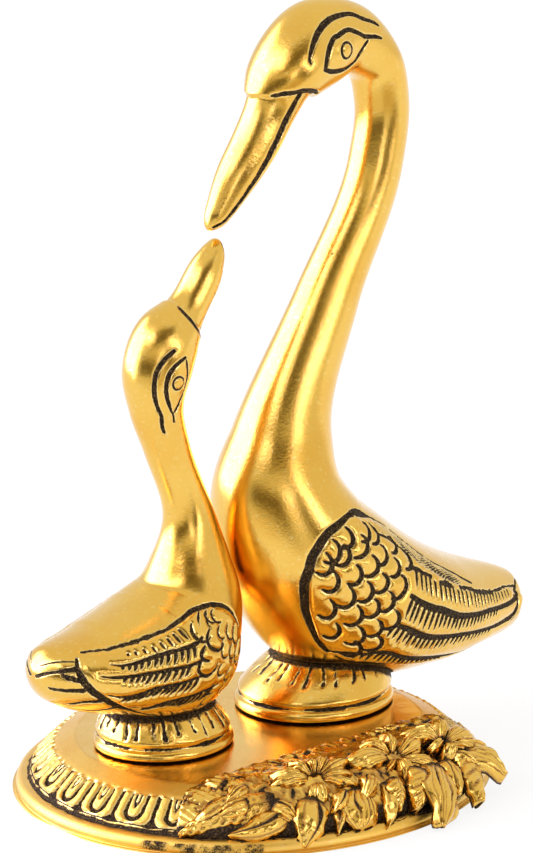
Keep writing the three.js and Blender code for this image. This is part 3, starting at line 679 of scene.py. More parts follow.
smallDuck = {
    "name": "small_duck_casting", "node": "small_duck", "seed": 11, "bold": 1.25,
    "y": 5.2, "facing": 1, "start": 0.7, "tailCap": 4.5, "tipCap": 3.2, "inset": 0.12,
    "stations": [
        (-62.3, 39.2, 5.5, 4.8, 6), (-56, 38.5, 7.5, 8, 10.5), (-42.5, 37, 11.5, 12, 17),
        (-21, 42, 14, 20.5, 19.5), (-15, 49.5, 12.5, 15.5, 15), (-13, 59, 10, 10.5, 10.5),
        (-13, 68.5, 7, 7.5, 7), (-19, 89.5, 6, 6, 6), (-21.5, 99.5, 7, 7, 7), (-21, 108.5, 9, 9, 8.5),
        (-17, 116.5, 9, 8, 8.5), (-12, 122, 6.2, 5.9, 6.6), (-4, 133, 4.2, 3.9, 4.7),
        (-1.5, 137.5, 2.6, 2.4, 3.2), (-1, 139.5, 2, 1.8, 2.6),
    ],
    "carvedRows": [(0.85, 4, 0.36), (4, 56, 0.27)],
    "carvedAngles": [(0, 30, 3.4), (30, 158, 1.15), (158, 180, 3.2)],
    "plainRows": [(56, 96, 1.2), (96, 132, 0.38), (132, 147, 0.55), (147, 149.7, 0.27)],
    "plainAngles": [(0, 44, 4), (44, 140, 1.9), (140, 180, 4)],
    "wing": {
        "raise": 0.5, "pillow": 0.4, "pillowReach": 1.5,
        "outline": [
            (53.2, 90), (52.4, 75), (49.6, 60), (44.9, 50), (37, 45), (30, 44), (21.9, 43), (14.2, 41),
            (9.5, 37), (8.4, 50), (7.9, 68), (8.6, 89), (10.6, 105), (13.6, 116), (17.3, 127), (22, 139),
            (28, 144), (36, 142), (44, 138), (49.9, 126), (52.5, 104),
        ],
        "lines": [
            stroke((0.12, 0.2, 0.3, 0.42, 0.5, 0.45, 0.4), 0.4, (9.5, 37), (11.7, 39), (14.2, 41),
                   (17.7, 42), (21.9, 43), (25.9, 44), (30, 44), (32, 44.5), ragged=0.42),
            stroke((0.4, 0.45, 0.5, 0.55, 0.55, 0.5, 0.42, 0.38, 0.3, 0.25), 0.5, (32, 45), (37, 45.5),
                   (41.5, 47), (44.9, 50), (47.5, 54), (49.5, 60), (51.3, 68), (52.4, 76), (53, 90),
                   (52.5, 102), (51.4, 112), (49.9, 122), ragged=0.16),
            stroke((0.3, 0.75, 0.8, 0.75, 0.62, 0.62, 0.62, 0.62, 0.6, 0.55, 0.5, 0.45), 0.7, (8.0, 47),
                   (7.6, 56), (7.4, 68), (8.2, 89), (10.4, 105), (13.5, 116), (17.2, 127), (22, 139),
                   (27, 144), (32, 144), (38, 141.5), (44, 138), (48.5, 130)),
            stroke((0.12, 0.25, 0.35, 0.42, 0.42, 0.35, 0.45, 0.3), 0.5, (14.5, 64), (17.4, 67), (21.2, 67),
                   (24.9, 66), (28.7, 66), (32.7, 68), (38.7, 72), (42, 73), ragged=0.16),
            stroke((0.12, 0.28, 0.3, 0.34, 0.36, 0.34, 0.25), 0.5, (11.5, 80), (14.2, 82), (17.5, 82),
                   (22, 82), (25.5, 83), (29, 84), (34.7, 88), (37, 89), ragged=0.14),
            stroke((0.12, 0.26, 0.34, 0.36, 0.36, 0.3, 0.2), 0.5, (13.9, 108), (16.9, 110), (19.9, 108),
                   (23.7, 102), (26.9, 100), (30.2, 100), (33.9, 100), (36, 101), ragged=0.14),
            stroke((0.12, 0.3, 0.36, 0.36, 0.34, 0.2), 0.5, (20.5, 128), (23.9, 128), (26.5, 121),
                   (29.4, 117), (32.4, 116), (36.2, 116), (39.5, 119), ragged=0.14),
            stroke((0.05, 0.1, 0.14, 0.1), 0.3, (0.7, 4), (1.3, 22), (2, 38), (4.4, 47), (7.2, 52)),
            stroke((0.4, 0.35, 0.4, 0.55), 0.45, (0.7, 100), (1.0, 84), (1.6, 72), (3.4, 68), (6.6, 66),
                   ragged=0.25),
            stroke((0.2, 0.35, 0.4, 0.5), 0.45, (2.4, 124), (3.6, 117), (5, 112), (8.6, 106), ragged=0.25),
            stroke((0.1, 0.3, 0.4, 0.45), 0.45, (5.6, 150), (7.7, 146), (10, 130), (13.4, 121),
                   ragged=0.25),
            stroke((0.1, 0.35, 0.4, 0.4), 0.4, (10, 158), (13.9, 150), (15.5, 142), (17.6, 132),
                   ragged=0.35),
            stroke((0.3, 0.6, 0.5), 0.3, (4.2, 78), (5.6, 84), (7.4, 88), ragged=0.5),
            stroke((0.2, 0.4, 0.4, 0.28, 0.12), 0.35, (43.5, 58), (41.5, 60), (40.2, 63), (39.8, 68),
                   (40.6, 75), (42.4, 80), (44, 81)),
            stroke((0.2, 0.36, 0.42, 0.3, 0.12), 0.35, (45.5, 77), (43.3, 77.5), (42.1, 80), (41.6, 86),
                   (42.3, 93), (43.6, 97), (45.5, 96)),
            stroke((0.2, 0.42, 0.4, 0.2), 0.35, (40.6, 80), (38.6, 82), (37.7, 85), (37.8, 90), (39.2, 94)),
            stroke((0.2, 0.36, 0.4, 0.25, 0.12), 0.35, (37.8, 90), (36, 92), (35.6, 97), (37, 103),
                   (39.4, 104), (41, 101)),
            stroke((0.15, 0.28, 0.1), 0.3, (48.8, 62), (46.2, 63), (44.8, 66)),
            stroke((0.1, 0.2, 0.12), 0.25, (49.6, 70), (47.4, 72), (45.6, 78)),
        ],
        "scales": [
            (47.2, 93), (44.4, 103), (48.5, 104), (41.4, 110), (45.6, 113), (48.8, 114), (38.4, 120),
            (42.4, 122), (46.2, 124), (50.2, 84), (49.2, 76), (37.4, 131), (41.5, 132),
        ],
        "scale": {"tailward": 1.7, "down": 1.75, "span": (-70, 110), "half": (0.1, 0.2, 0.24, 0.2, 0.1),
                  "depth": 0.34},
        "barbs": [
            barbRow((0.5, 1.2, 1.8, 2.4, 3.2), -0.1, (20, 60), (23.2, 60), (27.5, 60), (32.7, 57.5),
                    (38, 56), pitch=2.15, half=(0.18, 0.26, 0.14), depth=0.28, gap=-1.2),
            barbRow((0.9, 1.9, 2.4, 2.8, 3.0, 2.6), 0.62, (17.4, 67.5), (21.2, 67.5), (24.9, 66.5),
                    (28.7, 66.5), (32.7, 68.5), (38.7, 72.5), pitch=1.75),
            barbRow((1.2, 2.0, 2.4, 2.8, 2.6), 0.75, (17.5, 82.5), (22, 82.5), (25.5, 83.5), (29, 84.5),
                    (34.7, 88.5), half=(0.4, 0.32, 0.08)),
            barbRow((1.4, 2.2, 2.4, 2.6, 2.4), 0.8, (18.5, 109.5), (21.5, 106), (24.5, 102), (29, 100.5),
                    (35.5, 101.5)),
            barbRow((1.6, 2.4, 2.8, 3.0, 2.8), 0.85, (23.9, 128.5), (26.5, 121.5), (29.4, 117.5),
                    (32.4, 116.5), (38, 118)),
        ],
    },
    "head": [
        stroke((0.3, 0.42, 0.5, 0.48, 0.45, 0.4, 0.2, 0.25), 0.42, (118.2, 95), (115.5, 82), (113, 75),
               (110.1, 74), (107, 79), (104.3, 87), (103.1, 92), (101.2, 92)),
        stroke((0.15, 0.34, 0.34, 0.28, 0.34, 0.3), 0.38, (117.8, 99), (116.1, 108), (113.3, 116),
               (108.8, 116), (105.8, 108), (103.9, 97)),
        stroke((0.4, 0.5, 0.52, 0.5, 0.48, 0.45, 0.36, 0.42, 0.3), 0.45, (118.5, 71), (115.6, 60),
               (113.1, 54), (111, 53), (108.3, 54), (105.6, 58), (103.5, 64), (101, 62), (99.5, 63)),
    ],
    "eye": {"spot": (111.4, 96), "radii": (1.75, 1.75), "half": 0.2, "bulge": 0.5, "reach": 2.6},
    "beak": {
        "root": [(0, 129.2), (26, 128.8), (54, 127.6), (76, 127.1), (98, 126.6), (123, 126.1), (180, 125.6)],
        "step": 0.7, "fade": 14,
        "lines": [
            stroke((0.12, 0.35, 0.42, 0.4, 0.25, 0.15), 0.45, (128.7, 30), (127.9, 48), (127.3, 66),
                   (126.8, 86), (126.4, 106), (126, 128), ragged=0.2),
            stroke((0.3, 0.36, 0.34, 0.3, 0.2), 0.5, (128, 126), (133, 126), (140, 126), (146, 124),
                   (149, 110), ragged=0.15),
        ],
    },
    "foot": {"x": -23.6, "radius": 17.9, "topRadius": 13.6, "height": 11.6, "shift": -0.8, "strokes": 28,
             "strokeLow": (0.42, 0.6), "ring": 2.4, "groove": 0.9, "columns": 180, "rows": 34},
}
seat = {"top": 12.8, "gap": 0.3}  # the base's flat top, and the gap that a foot keeps above it


def scaleArc(spine, spot, scale, rng):
    # the cut edge of one feather scale, round its end that points to the tail and a little down. The
    # sweep's own slope at the spot is taken off, so that all scales hang the same way.
    size = rng.uniform(0.92, 1.08)
    ahead, behind = (spine.values(np.array(spot[0] + step))[:2] for step in (0.5, -0.5))
    slope = math.degrees(math.atan2(ahead[1] - behind[1], abs(ahead[0] - behind[0])))
    path = []
    for turn in np.radians(np.linspace(*scale["span"], 8) - slope):
        path.append(spine.step(spot, math.cos(turn) * scale["tailward"] * size,
                               math.sin(turn) * scale["down"] * size))
    return path


def barbStarts(spine, barbs, rng):
    # spots along a line, one barb's pitch apart, with their share of the line's length
    path = through(barbs["path"])
    along = alongOf(spine.skin(path[:, 0], -path[:, 1]))
    at = 0.0
    while at < along[-1]:
        spot = [np.interp(at, along, path[:, k]) for k in (0, 1)]
        yield spot, at / along[-1]
        at += barbs["pitch"] * rng.uniform(0.86, 1.14)


def cutOnSkin(carving, spine, line, pieces=6):
    path = through(line["path"], pieces)
    half = np.array(line["half"]) * spine.duck["bold"]
    carving.cut(spine.skin(path[:, 0], -path[:, 1]), half, line["depth"], line["ragged"])


def wingCarving(carving, spine, wing, rng):
    for line in wing["lines"]:
        cutOnSkin(carving, spine, line)
    scale = wing["scale"]
    for spot in wing["scales"]:
        arc = scaleArc(spine, spot, scale, rng)
        cutOnSkin(carving, spine, stroke(scale["half"], scale["depth"], *arc, ragged=0.08), 3)
    for barbs in wing["barbs"]:
        for spot, share in barbStarts(spine, barbs, rng):
            shares = np.linspace(0, 1, len(barbs["long"]))
            long = np.interp(share, shares, barbs["long"]) * rng.uniform(0.82, 1.12)
            path = [spine.step(spot, 0, barbs["gap"])]
            for k in range(3):
                path.append(spine.step(path[-1], barbs["lean"] * long / 3 * (0.7 + 0.3 * k), long / 3))
            cutOnSkin(carving, spine, stroke(barbs["half"], barbs["depth"], *path, ragged=0.07), 2)


def wingLift(carving, spine, wing, u, angle):
    # how far the wing stands out of the skin, with a soft rim and pillows between its lines
    outline = np.array(wing["outline"], float)
    rim = through(np.vstack([outline, outline[:1]]), 4)
    edge = Carving(carving.points, 0)
    edge.near[:] = 3.0
    edge.cut(spine.skin(rim[:, 0], -rim[:, 1]), (0.01, 0.01), 0.0, 0.0)
    deep = np.where(insideOf(u, angle, outline), edge.near, 0)
    dome = 1 - (1 - np.clip(carving.near / wing["pillowReach"], 0, 1)) ** 2
    height = wing["raise"] * (0.2 + 0.8 * smooth(42, 78, angle))
    return smooth(0, 1.8, deep) * (height + wing["pillow"] * (dome - 0.4))


def headLift(carving, spine, duck, u, angle):
    # the domed eye with its ring, and the step down from the face to the beak
    eye, beak = duck["eye"], duck["beak"]
    long, tall = eye["radii"]
    ring = []
    for turn in np.linspace(0, 2 * np.pi, 17):
        ring.append(spine.step(eye["spot"], math.cos(turn) * long, math.sin(turn) * tall))
    cutOnSkin(carving, spine, stroke((eye["half"], eye["half"]), 0.35, *ring, ragged=0.04), 3)
    away = np.linalg.norm(carving.points - spine.skin(eye["spot"][0], -eye["spot"][1]), axis=1)
    past = u - np.interp(angle, *zip(*beak["root"]))
    step = beak["step"] * smooth(0, 1.0, past) * (1 - smooth(2, beak["fade"] + 2, past))
    return eye["bulge"] * np.exp(-(away / eye["reach"]) ** 2 * 1.4) - step


def duckZone(duck, spine, zone, rng):
    # a stretch of the skin as a grid, carved on one flank, with the other flank as its mirror image
    rows, half = rowsOf(duck[zone + "Rows"]), rowsOf(duck[zone + "Angles"])
    u, angle = (part.ravel() for part in np.meshgrid(rows, half, indexing="ij"))
    carving = Carving(spine.skin(u, -angle), duck["seed"])
    if zone == "carved":
        wingCarving(carving, spine, duck["wing"], rng)
        lift = wingLift(carving, spine, duck["wing"], u, angle)
    else:
        for line in duck["head"] + duck["beak"]["lines"]:
            cutOnSkin(carving, spine, line)
        lift = headLift(carving, spine, duck, u, angle)
    shape = (len(rows), len(half))
    lift = (lift - duck["inset"] - carving.sink).reshape(shape)
    turns = np.concatenate([half, 360 - half[-2:0:-1]])
    mirrored = np.concatenate([np.arange(len(half)), np.arange(len(half) - 2, 0, -1)])
    points = spine.skin(rows[:, None], -turns[None, :], lift[:, mirrored])
    return points, carving.ink.reshape(shape)[:, mirrored], turns


def duckBody(duck, spine):
    rng = np.random.default_rng(duck["seed"])
    carved, carvedInk, carvedTurns = duckZone(duck, spine, "carved", rng)
    plain, plainInk, plainTurns = duckZone(duck, spine, "plain", rng)
    points, faces = closedRings([carved, plain[1:]], [carvedTurns, plainTurns])
    return Shell(points, faces, np.concatenate([carvedInk.ravel(), plainInk[1:].ravel(), [-1, -1]]))


def footProfile(foot):
    # (radius, height above the gap) from the bottom edge over the ring, the groove and the dome to the top
    dome = foot["radius"] - 0.8
    ring, high, top = foot["ring"], foot["height"], foot["topRadius"]
    return through([
        (foot["radius"] - 0.9, 0), (foot["radius"] - 0.1, 0.4), (foot["radius"], ring * 0.5),
        (foot["radius"] - 0.35, ring * 0.88), (foot["radius"] - foot["groove"] - 0.2, ring + 0.35),
        (foot["radius"] - foot["groove"] - 0.3, ring + 0.8), (dome - 0.15, ring + 1.3), (dome, ring + 2.2),
        (lerp(dome, top, 0.12), lerp(ring, high, 0.34)), (lerp(dome, top, 0.34), lerp(ring, high, 0.52)),
        (lerp(dome, top, 0.66), lerp(ring, high, 0.72)), (top, high * 0.9), (top * 0.92, high),
    ], 8)


def footShell(duck, rng):
    foot = duck["foot"]
    profile = footProfile(foot)
    along = alongOf(profile)
    at = np.linspace(0, along[-1], foot["rows"])
    radius, height = (np.interp(at, along, profile[:, k]) for k in (0, 1))
    turns = circle(foot["columns"])

    def place(radius, height, turn):
        shift = foot["shift"] * smooth(foot["ring"], foot["height"], height)
        return np.stack([foot["x"] + shift + radius * np.cos(turn), duck["y"] + radius * np.sin(turn),
                         seat["top"] + seat["gap"] + height + 0 * turn], -1)

    flat = place(radius[:, None], height[:, None], turns[None, :]).reshape(-1, 3)
    carving = Carving(flat, duck["seed"] + 5)
    for k in range(foot["strokes"]):
        turn = 2 * math.pi * (k + rng.uniform(0.34, 0.66)) / foot["strokes"]
        strong = rng.uniform(0.24, 0.52)
        low = foot["height"] * rng.uniform(*foot["strokeLow"])
        span = np.linspace(low, foot["height"] * 0.97, 6)
        rising = np.interp(span, profile[4:, 1], profile[4:, 0])
        line = place(rising, span, np.linspace(turn, turn + rng.uniform(-0.06, 0.06), 6))
        carving.cut(line, (strong, strong * 0.85, strong * rng.uniform(0.6, 1.2)), 0.6, 0.5)
    stretches = 7  # dark stretches along the groove
    for part in range(stretches):
        start = 2 * math.pi * (part + rng.uniform(0, 0.4)) / stretches
        turn = np.linspace(start, start + rng.uniform(0.62, 0.85), 14)
        line = place(foot["radius"] - foot["groove"] - 0.3, foot["ring"] + 0.8, turn)
        carving.cut(line, (0.2, rng.uniform(0.5, 0.85), rng.uniform(0.35, 0.7), 0.15), 0.2, 0.45)
    away = flat * [1, 1, 0] - [foot["x"], duck["y"], 0]
    away /= np.linalg.norm(away, axis=1, keepdims=True) + 1e-9
    points = flat - away * carving.sink[:, None]
    # painted contact shade: a dark band round the foot's bottom edge, where it meets the base
    grimeAndShade = np.append(1.2 * (flat[:, 2] < seat["top"] + seat["gap"] + 0.3), [0, 0])
    points, faces = closedRings([points.reshape(foot["rows"], foot["columns"], 3)], [np.degrees(turns)])
    return Shell(points, faces, np.append(carving.ink, [-1, -1]), grimeAndShade)


def makeDuck(duck):
    spine = Spine(duck)
    body = duckBody(duck, spine)
    foot = footShell(duck, np.random.default_rng(duck["seed"] + 1))
    reach = 3.2  # dark rough patina and painted shade where the belly sits on the foot
    foot.grimeAndShade = np.maximum(foot.grimeAndShade, 1 - smooth(0.6, reach, gapsTo(foot.points, body.tree(), reach)))
    low = np.flatnonzero(body.points[:, 2] < seat["top"] + duck["foot"]["height"] + 8)
    body.grimeAndShade[low] = 1 - smooth(0.2, 1.5, gapsTo(body.points[low], foot.tree(), reach))
    addPiece(duck["name"], [body, foot], duck["node"], duckGilt)


makeDuck(largeDuck)
makeDuck(smallDuck)


# The round base. Profile points are (radius, height); the petal band runs between the two named ends.
base = {
    "columnsPerPetal": 31, "petals": 30, "turn": 2.3, "top": 12.8,
    "under": [(30, 0), (59, 0), (59.6, 0.1), (60.1, 0.5), (60.35, 1.2), (60.2, 2.0), (59.7, 2.8),
              (58.9, 3.3), (58.1, 3.4), (57.4, 3.4), (56.8, 4.0)],
    "bandLow": (56.4, 4.7), "bandTop": (49.9, 10.6), "bandRows": 40, "plainColumns": 300,
    "over": [(49.2, 11.0), (47, 11.9), (45.2, 12.62), (44.7, 12.72), (44.3, 12.74), (43.9, 12.8)],
    "flat": [(36, 12.8), (24, 12.8), (8, 12.8)],
    "petal": {"gap": 0.34, "corner": 2.7, "height": 0.9, "grooveHalf": 2.25, "grooveRound": 3.5,
              "grooveWidth": 0.46, "slotLow": 4.6, "slotHigh": 8.0, "slotHalf": 0.62, "slotWidth": 0.22},
    "ringGroove": 57.05, "lip": 58, "topEdge": 44, "stain": {"from": -156, "to": -122, "most": 0.72},
}


def petalRelief(across, up, half, petal, vary, rough):
    # height and ink of one petal in its own plane: a rounded edge, a groove like a U, and a narrow slot
    side = np.abs(across)
    corner = petal["corner"]
    outer = np.hypot(np.maximum(side - half + corner, 0), np.maximum(corner - up, 0))
    edge = corner - outer + 0.28 * rough
    inner = np.hypot(across, np.maximum(petal["grooveRound"] + vary[0] - up, 0))
    groove = np.abs(inner - petal["grooveHalf"] - vary[1])
    width = petal["grooveWidth"] * (1.2 - 0.55 * smooth(3.0, 8.0, up)) + vary[2] + 0.22 * rough
    past = np.maximum(np.maximum(petal["slotLow"] - up, up - petal["slotHigh"]), 0)
    slot = np.hypot(np.abs(across - vary[3] * (6 - up)) - petal["slotHalf"] * smooth(4.2, 6.5, up), past)
    slotInk = petal["slotWidth"] + vary[2] + 0.2 * rough - slot
    gap = 0.16 + 0.3 * rough - edge
    ink = np.maximum(np.maximum(gap, width - groove), slotInk)
    ridge = 1 - (1 - np.clip((np.minimum(edge, groove - width * 0.5) - 0.1) / 0.75, 0, 1)) ** 2
    cut = np.clip(slot / 0.5, 0, 1)
    return petal["height"] * (ridge * (0.45 + 0.55 * cut) - 0.3), ink


def turned(profile, turns, lift=0.0):
    # the points of a profile turned round the axis, lifted along the way out of the profile
    away = np.gradient(profile, axis=0)
    away /= np.linalg.norm(away, axis=1, keepdims=True)
    reach = profile[:, :1] + away[:, 1:] * lift
    height = profile[:, 1:] - away[:, :1] * lift + 0 * turns
    return np.stack([reach * np.cos(turns), reach * np.sin(turns), height], -1)


def petalBand():
    # the ring of petals as a grid of points, with its ink
    rows, columns = base["bandRows"], base["columnsPerPetal"] * base["petals"]
    up = np.linspace(0, 1, rows)[:, None]
    profile = lerp(np.array(base["bandLow"]), np.array(base["bandTop"]), up)
    lengthUp = np.linalg.norm(np.subtract(base["bandTop"], base["bandLow"]))
    up = up * lengthUp
    pitch = 2 * np.pi / base["petals"]
    steps = np.arange(columns)
    number = steps // base["columnsPerPetal"]
    turns = steps / columns * 2 * np.pi + math.radians(base["turn"])
    middle = (number + 0.5) * pitch + math.radians(base["turn"])
    rng = np.random.default_rng(21)
    vary = rng.normal(0, 1, (base["petals"], 4)) * [0.3, 0.12, 0.06, 0.06]
    radius = profile[:, :1] + 1.0
    flat = turned(profile, turns)
    rough = crinkle(flat, 1.0, 8, (0.9, 0.4))
    half = radius * pitch / 2 - base["petal"]["gap"]
    height, ink = petalRelief((turns - middle) * radius, up, half, base["petal"], vary[number].T, rough)
    height = height * smooth(0, 0.4, up) * (1 - smooth(lengthUp - 0.8, lengthUp - 0.1, up + 0.5 * rough))
    ink = np.where(up < lengthUp - 0.5 + 0.5 * rough, ink, np.minimum(ink, -0.1))
    return turned(profile, turns, height), ink, turns


def baseShell():
    # the underside with the foot ring, the petal band, and the flat top
    plainTurns = circle(base["plainColumns"]) + math.radians(base["turn"])
    band, bandInk, bandTurns = petalBand()
    under = turned(through(base["under"], 3), plainTurns)
    over = turned(np.vstack([through(base["over"], 3), base["flat"]]), plainTurns)
    turns = [np.degrees(part - part[0]) for part in (plainTurns, bandTurns, plainTurns)]
    points, faces = closedRings([under, band, over], turns)
    x, y, z = points.T
    radius, turn = np.hypot(x, y), np.degrees(np.arctan2(y, x))
    inGroove = 1 - smooth(0.35, 0.7, np.abs(radius - base["ringGroove"] + field(points, 2.2, 4) * 0.3))
    grimeAndShade = inGroove * (z < 5.0) * (0.9 + 0.4 * field(points, 5.0, 5))
    stain = base["stain"]
    onLip = smooth(stain["from"], stain["from"] + 3, turn) * (1 - smooth(stain["to"] - 4, stain["to"], turn))
    onLip = onLip * smooth(0.2, 0.6, z) * (1 - smooth(2.6, 3.2, z)) * (radius > base["lip"])
    blots = field(points, 3.0, 14) * 0.5 + field(points, 1.1, 15) * 0.3
    grimeAndShade = np.maximum(grimeAndShade, onLip * np.clip(0.52 + 0.9 * blots, 0, stain["most"]))
    points[:, 2] += field(points, 0.7, 6) * 0.05 * (radius > base["topEdge"]) * (z > 5)
    ink = np.full(len(points), -1.0)
    start = under[..., 0].size
    ink[start:start + bandInk.size] = bandInk.ravel()
    return Shell(points, faces, ink, grimeAndShade)


def leafAt(root, tip, width, **given):
    # a leaf from its root to its tip, in mm; what isn't given is as on most leaves
    usual = {"rows": 26, "columns": 29, "thick": 1.3, "lie": 0.6, "bulge": 1.4, "ridge": 0.5, "cup": 0.9,
             "ribs": 6, "ribDepth": 0.6, "kind": "fan", "blunt": 0.8, "wave": 0.16, "swing": 0.0, "twist": 0}
    return {**usual, "root": root, "tip": tip, "width": width, **given}


# The spray: a bank of small leaves behind a straight line on the flat top, three open flowers, and leaves
# that hang over the rim. A petal is (degrees from the way down the slope, length, half angle).
spray = {
    "bank": {"lineY": -27, "from": -146, "to": -31, "height": 2.4, "reach": 57.5, "columns": 220,
             "rows": 40, "leafPitch": 6.2, "ridgePitch": 1.25, "innerMost": 49.6, "rimFrom": 44.6,
             "rimDrop": 7.6},
    "petal": {"rise": 2.6, "curl": 3.2, "arch": 1.5, "ridge": 0.5, "pitch": 1.1, "rows": 20,
              "columns": 39},
    "flowers": [
        {"middle": (-14.7, -45, 13.2), "tilt": 34, "petals": [(-100, 11.4, 27), (-138, 8, 22),
         (178, 6.4, 22), (141, 8.6, 22), (112, 11.4, 17), (88, 10, 15), (68, 11.4, 15), (-6, 8.2, 38)]},
        {"middle": (8.5, -47, 13.6), "tilt": 36, "petals": [(-108, 13.2, 27), (-148, 9, 24), (156, 8, 24),
         (97, 12.2, 25), (58, 14.6, 20), (-6, 7.8, 36), (-60, 6.5, 18)]},
        {"middle": (25.3, -45.6, 13), "tilt": 32, "petals": [(-140, 11, 20), (-176, 8.4, 24),
         (128, 9.8, 26), (76, 14, 24), (42, 12.4, 15), (-36, 6.2, 36), (-96, 6.2, 22)]},
    ],
    "leaves": [
        leafAt((-27, -45.5, 10.8), (-47.6, -32.8, 4.0), 9, kind="feather", ribs=9, ribDepth=0.7, ridge=1.0,
               bulge=1.8, swing=-1.0),
        leafAt((-24, -48.6, 9), (-40, -42.6, 4.6), 7, ribs=2, ribDepth=0.2, swing=1.6, bulge=2.4),
        leafAt((-28.5, -46.4, 11.4), (-24.6, -50.6, 6.4), 5.5, ribs=4, ribDepth=0.9),
        leafAt((-19, -50, 11), (-26, -54.6, 1.3), 9.4, ribs=3, ribDepth=0.3, bulge=2.2, wave=0.1),
        leafAt((-7.4, -52, 11), (-12, -58.8, 3.6), 12, ribs=7, ribDepth=0.6, blunt=1.2, bulge=1.8),
        leafAt((-11, -52.5, 11.5), (-17, -55.2, 8.2), 4.2, ribs=2),
        leafAt((-13.6, -53.6, 9), (-17.6, -57.2, 3), 4, ribs=1, ridge=0.2, blunt=0.4),
        leafAt((0.6, -53.4, 11), (-4.9, -60.6, 2.5), 5, ribs=2, twist=40, swing=1.2),
        leafAt((3, -54, 12), (0, -59.4, 5.2), 5, kind="feather", ribs=5),
        leafAt((12.4, -54, 11.6), (4.7, -60.2, 4.6), 8.6, kind="feather", ribs=6, blunt=0.5, ribDepth=0.5),
        leafAt((18.2, -52.6, 11), (8.2, -66.2, 1.1), 11, ribs=6, ribDepth=0.9, bulge=2.4, blunt=0.8,
               wave=0.24),
        leafAt((22, -51.6, 11.4), (19.5, -59.6, 4.8), 6, ribs=5, ribDepth=0.5),
        leafAt((29.5, -48.6, 10.6), (24.2, -62.4, 2.5), 8.4, kind="feather", ribs=5, ribDepth=0.6,
               wave=0.14),
        leafAt((30.5, -48.5, 11.2), (37.8, -56.2, 4.8), 11, ribs=7, ribDepth=0.7, blunt=0.6, bulge=2.2),
        leafAt((31.5, -46.5, 11.4), (41, -47, 7.4), 7.5, ribs=5, blunt=0.5),
        leafAt((-1.5, -51, 13), (-7.4, -55.6, 9.4), 5, ribs=4, ribDepth=0.6),
        leafAt((26, -50, 12.2), (30.5, -54.6, 7.2), 5, ribs=4, ribDepth=0.6),
        leafAt((-33, -42.5, 11.6), (-40.5, -39, 8.2), 6, ribs=4, ribDepth=0.6),
        leafAt((-30, -38, 13.4), (-37.5, -39, 11.4), 5.5, ribs=4, ribDepth=0.5),
        leafAt((-36, -39.5, 10.8), (-45.4, -35.4, 6.6), 6, ribs=4, ribDepth=0.6),
    ],
    "rings": [(17.2, -31.4, 15.0), (20.6, -31.6, 15.0)],
    "shade": {"reach": 2.6, "rays": 8},
    "groundShade": {"reach": 5, "rays": 6, "from": -152, "to": -24, "above": 2.5},
    "edging": {"span": (-36, 37), "pitch": 4.6, "long": 6.4, "width": 6.2, "lean": 2.2, "rootHigh": 14.6,
               "tipHigh": 13.1, "shape": {"rows": 15, "columns": 17, "lie": 5, "ribs": 4, "ribDepth": 0.5,
                                          "bulge": 0.9, "ridge": 0.3, "cup": 0.7}},
    "seeds": {"petals": 50, "leaves": 90, "edging": 77, "edgingLeaves": 200},
}


def closedSheet(top, low, ink, grimeAndShade):
    # a top surface given as a grid, closed by a skirt down to a second grid's outline and a fan across it
    rows, columns = top.shape[:2]
    index = np.arange(rows * columns).reshape(rows, columns)
    loop = np.concatenate([index[0, :-1], index[:-1, -1], index[-1, :0:-1], index[:0:-1, 0]])
    skirt = low.reshape(-1, 3)[loop]
    start = rows * columns
    ring = np.arange(start, start + len(loop))
    after, ringAfter = np.roll(loop, -1), np.roll(ring, -1)
    faces = np.vstack([gridFaces(rows, columns, False)[:, ::-1], np.stack([loop, after, ringAfter], 1),
                       np.stack([loop, ringAfter, ring], 1), fanFaces(ring, start + len(loop))[:, ::-1]])
    points = np.vstack([top.reshape(-1, 3), skirt, skirt.mean(0)[None]])
    extra = len(points) - start
    # the skirt and the fan underneath are painted dark all over, as shade under the sheet
    ink, grimeAndShade = np.append(ink.ravel(), np.full(extra, -0.6)), np.append(grimeAndShade.ravel(), np.ones(extra))
    return Shell(points, faces, ink, grimeAndShade)


def folds(s, v, count, rng):
    # uneven rounded ridges side by side along a sheet: their height from 0 to 1, and the ink in the valleys
    phases = rng.uniform(0, 6, 5)
    bent = v + 0.11 * np.sin(3.1 * v + phases[0]) + 0.07 * np.sin(4.5 * s + phases[1])
    bent = bent + 0.04 * np.sin(9 * v + 5 * s + phases[2])
    wave = 0.5 + 0.5 * np.cos(np.pi * count * bent + phases[3])
    strong = 0.72 + 0.28 * np.sin(2.7 * count * v / 2 + phases[4])
    cut = np.clip(1 - wave / 0.42, 0, 1) * strong
    return wave ** 0.7 * strong, cut


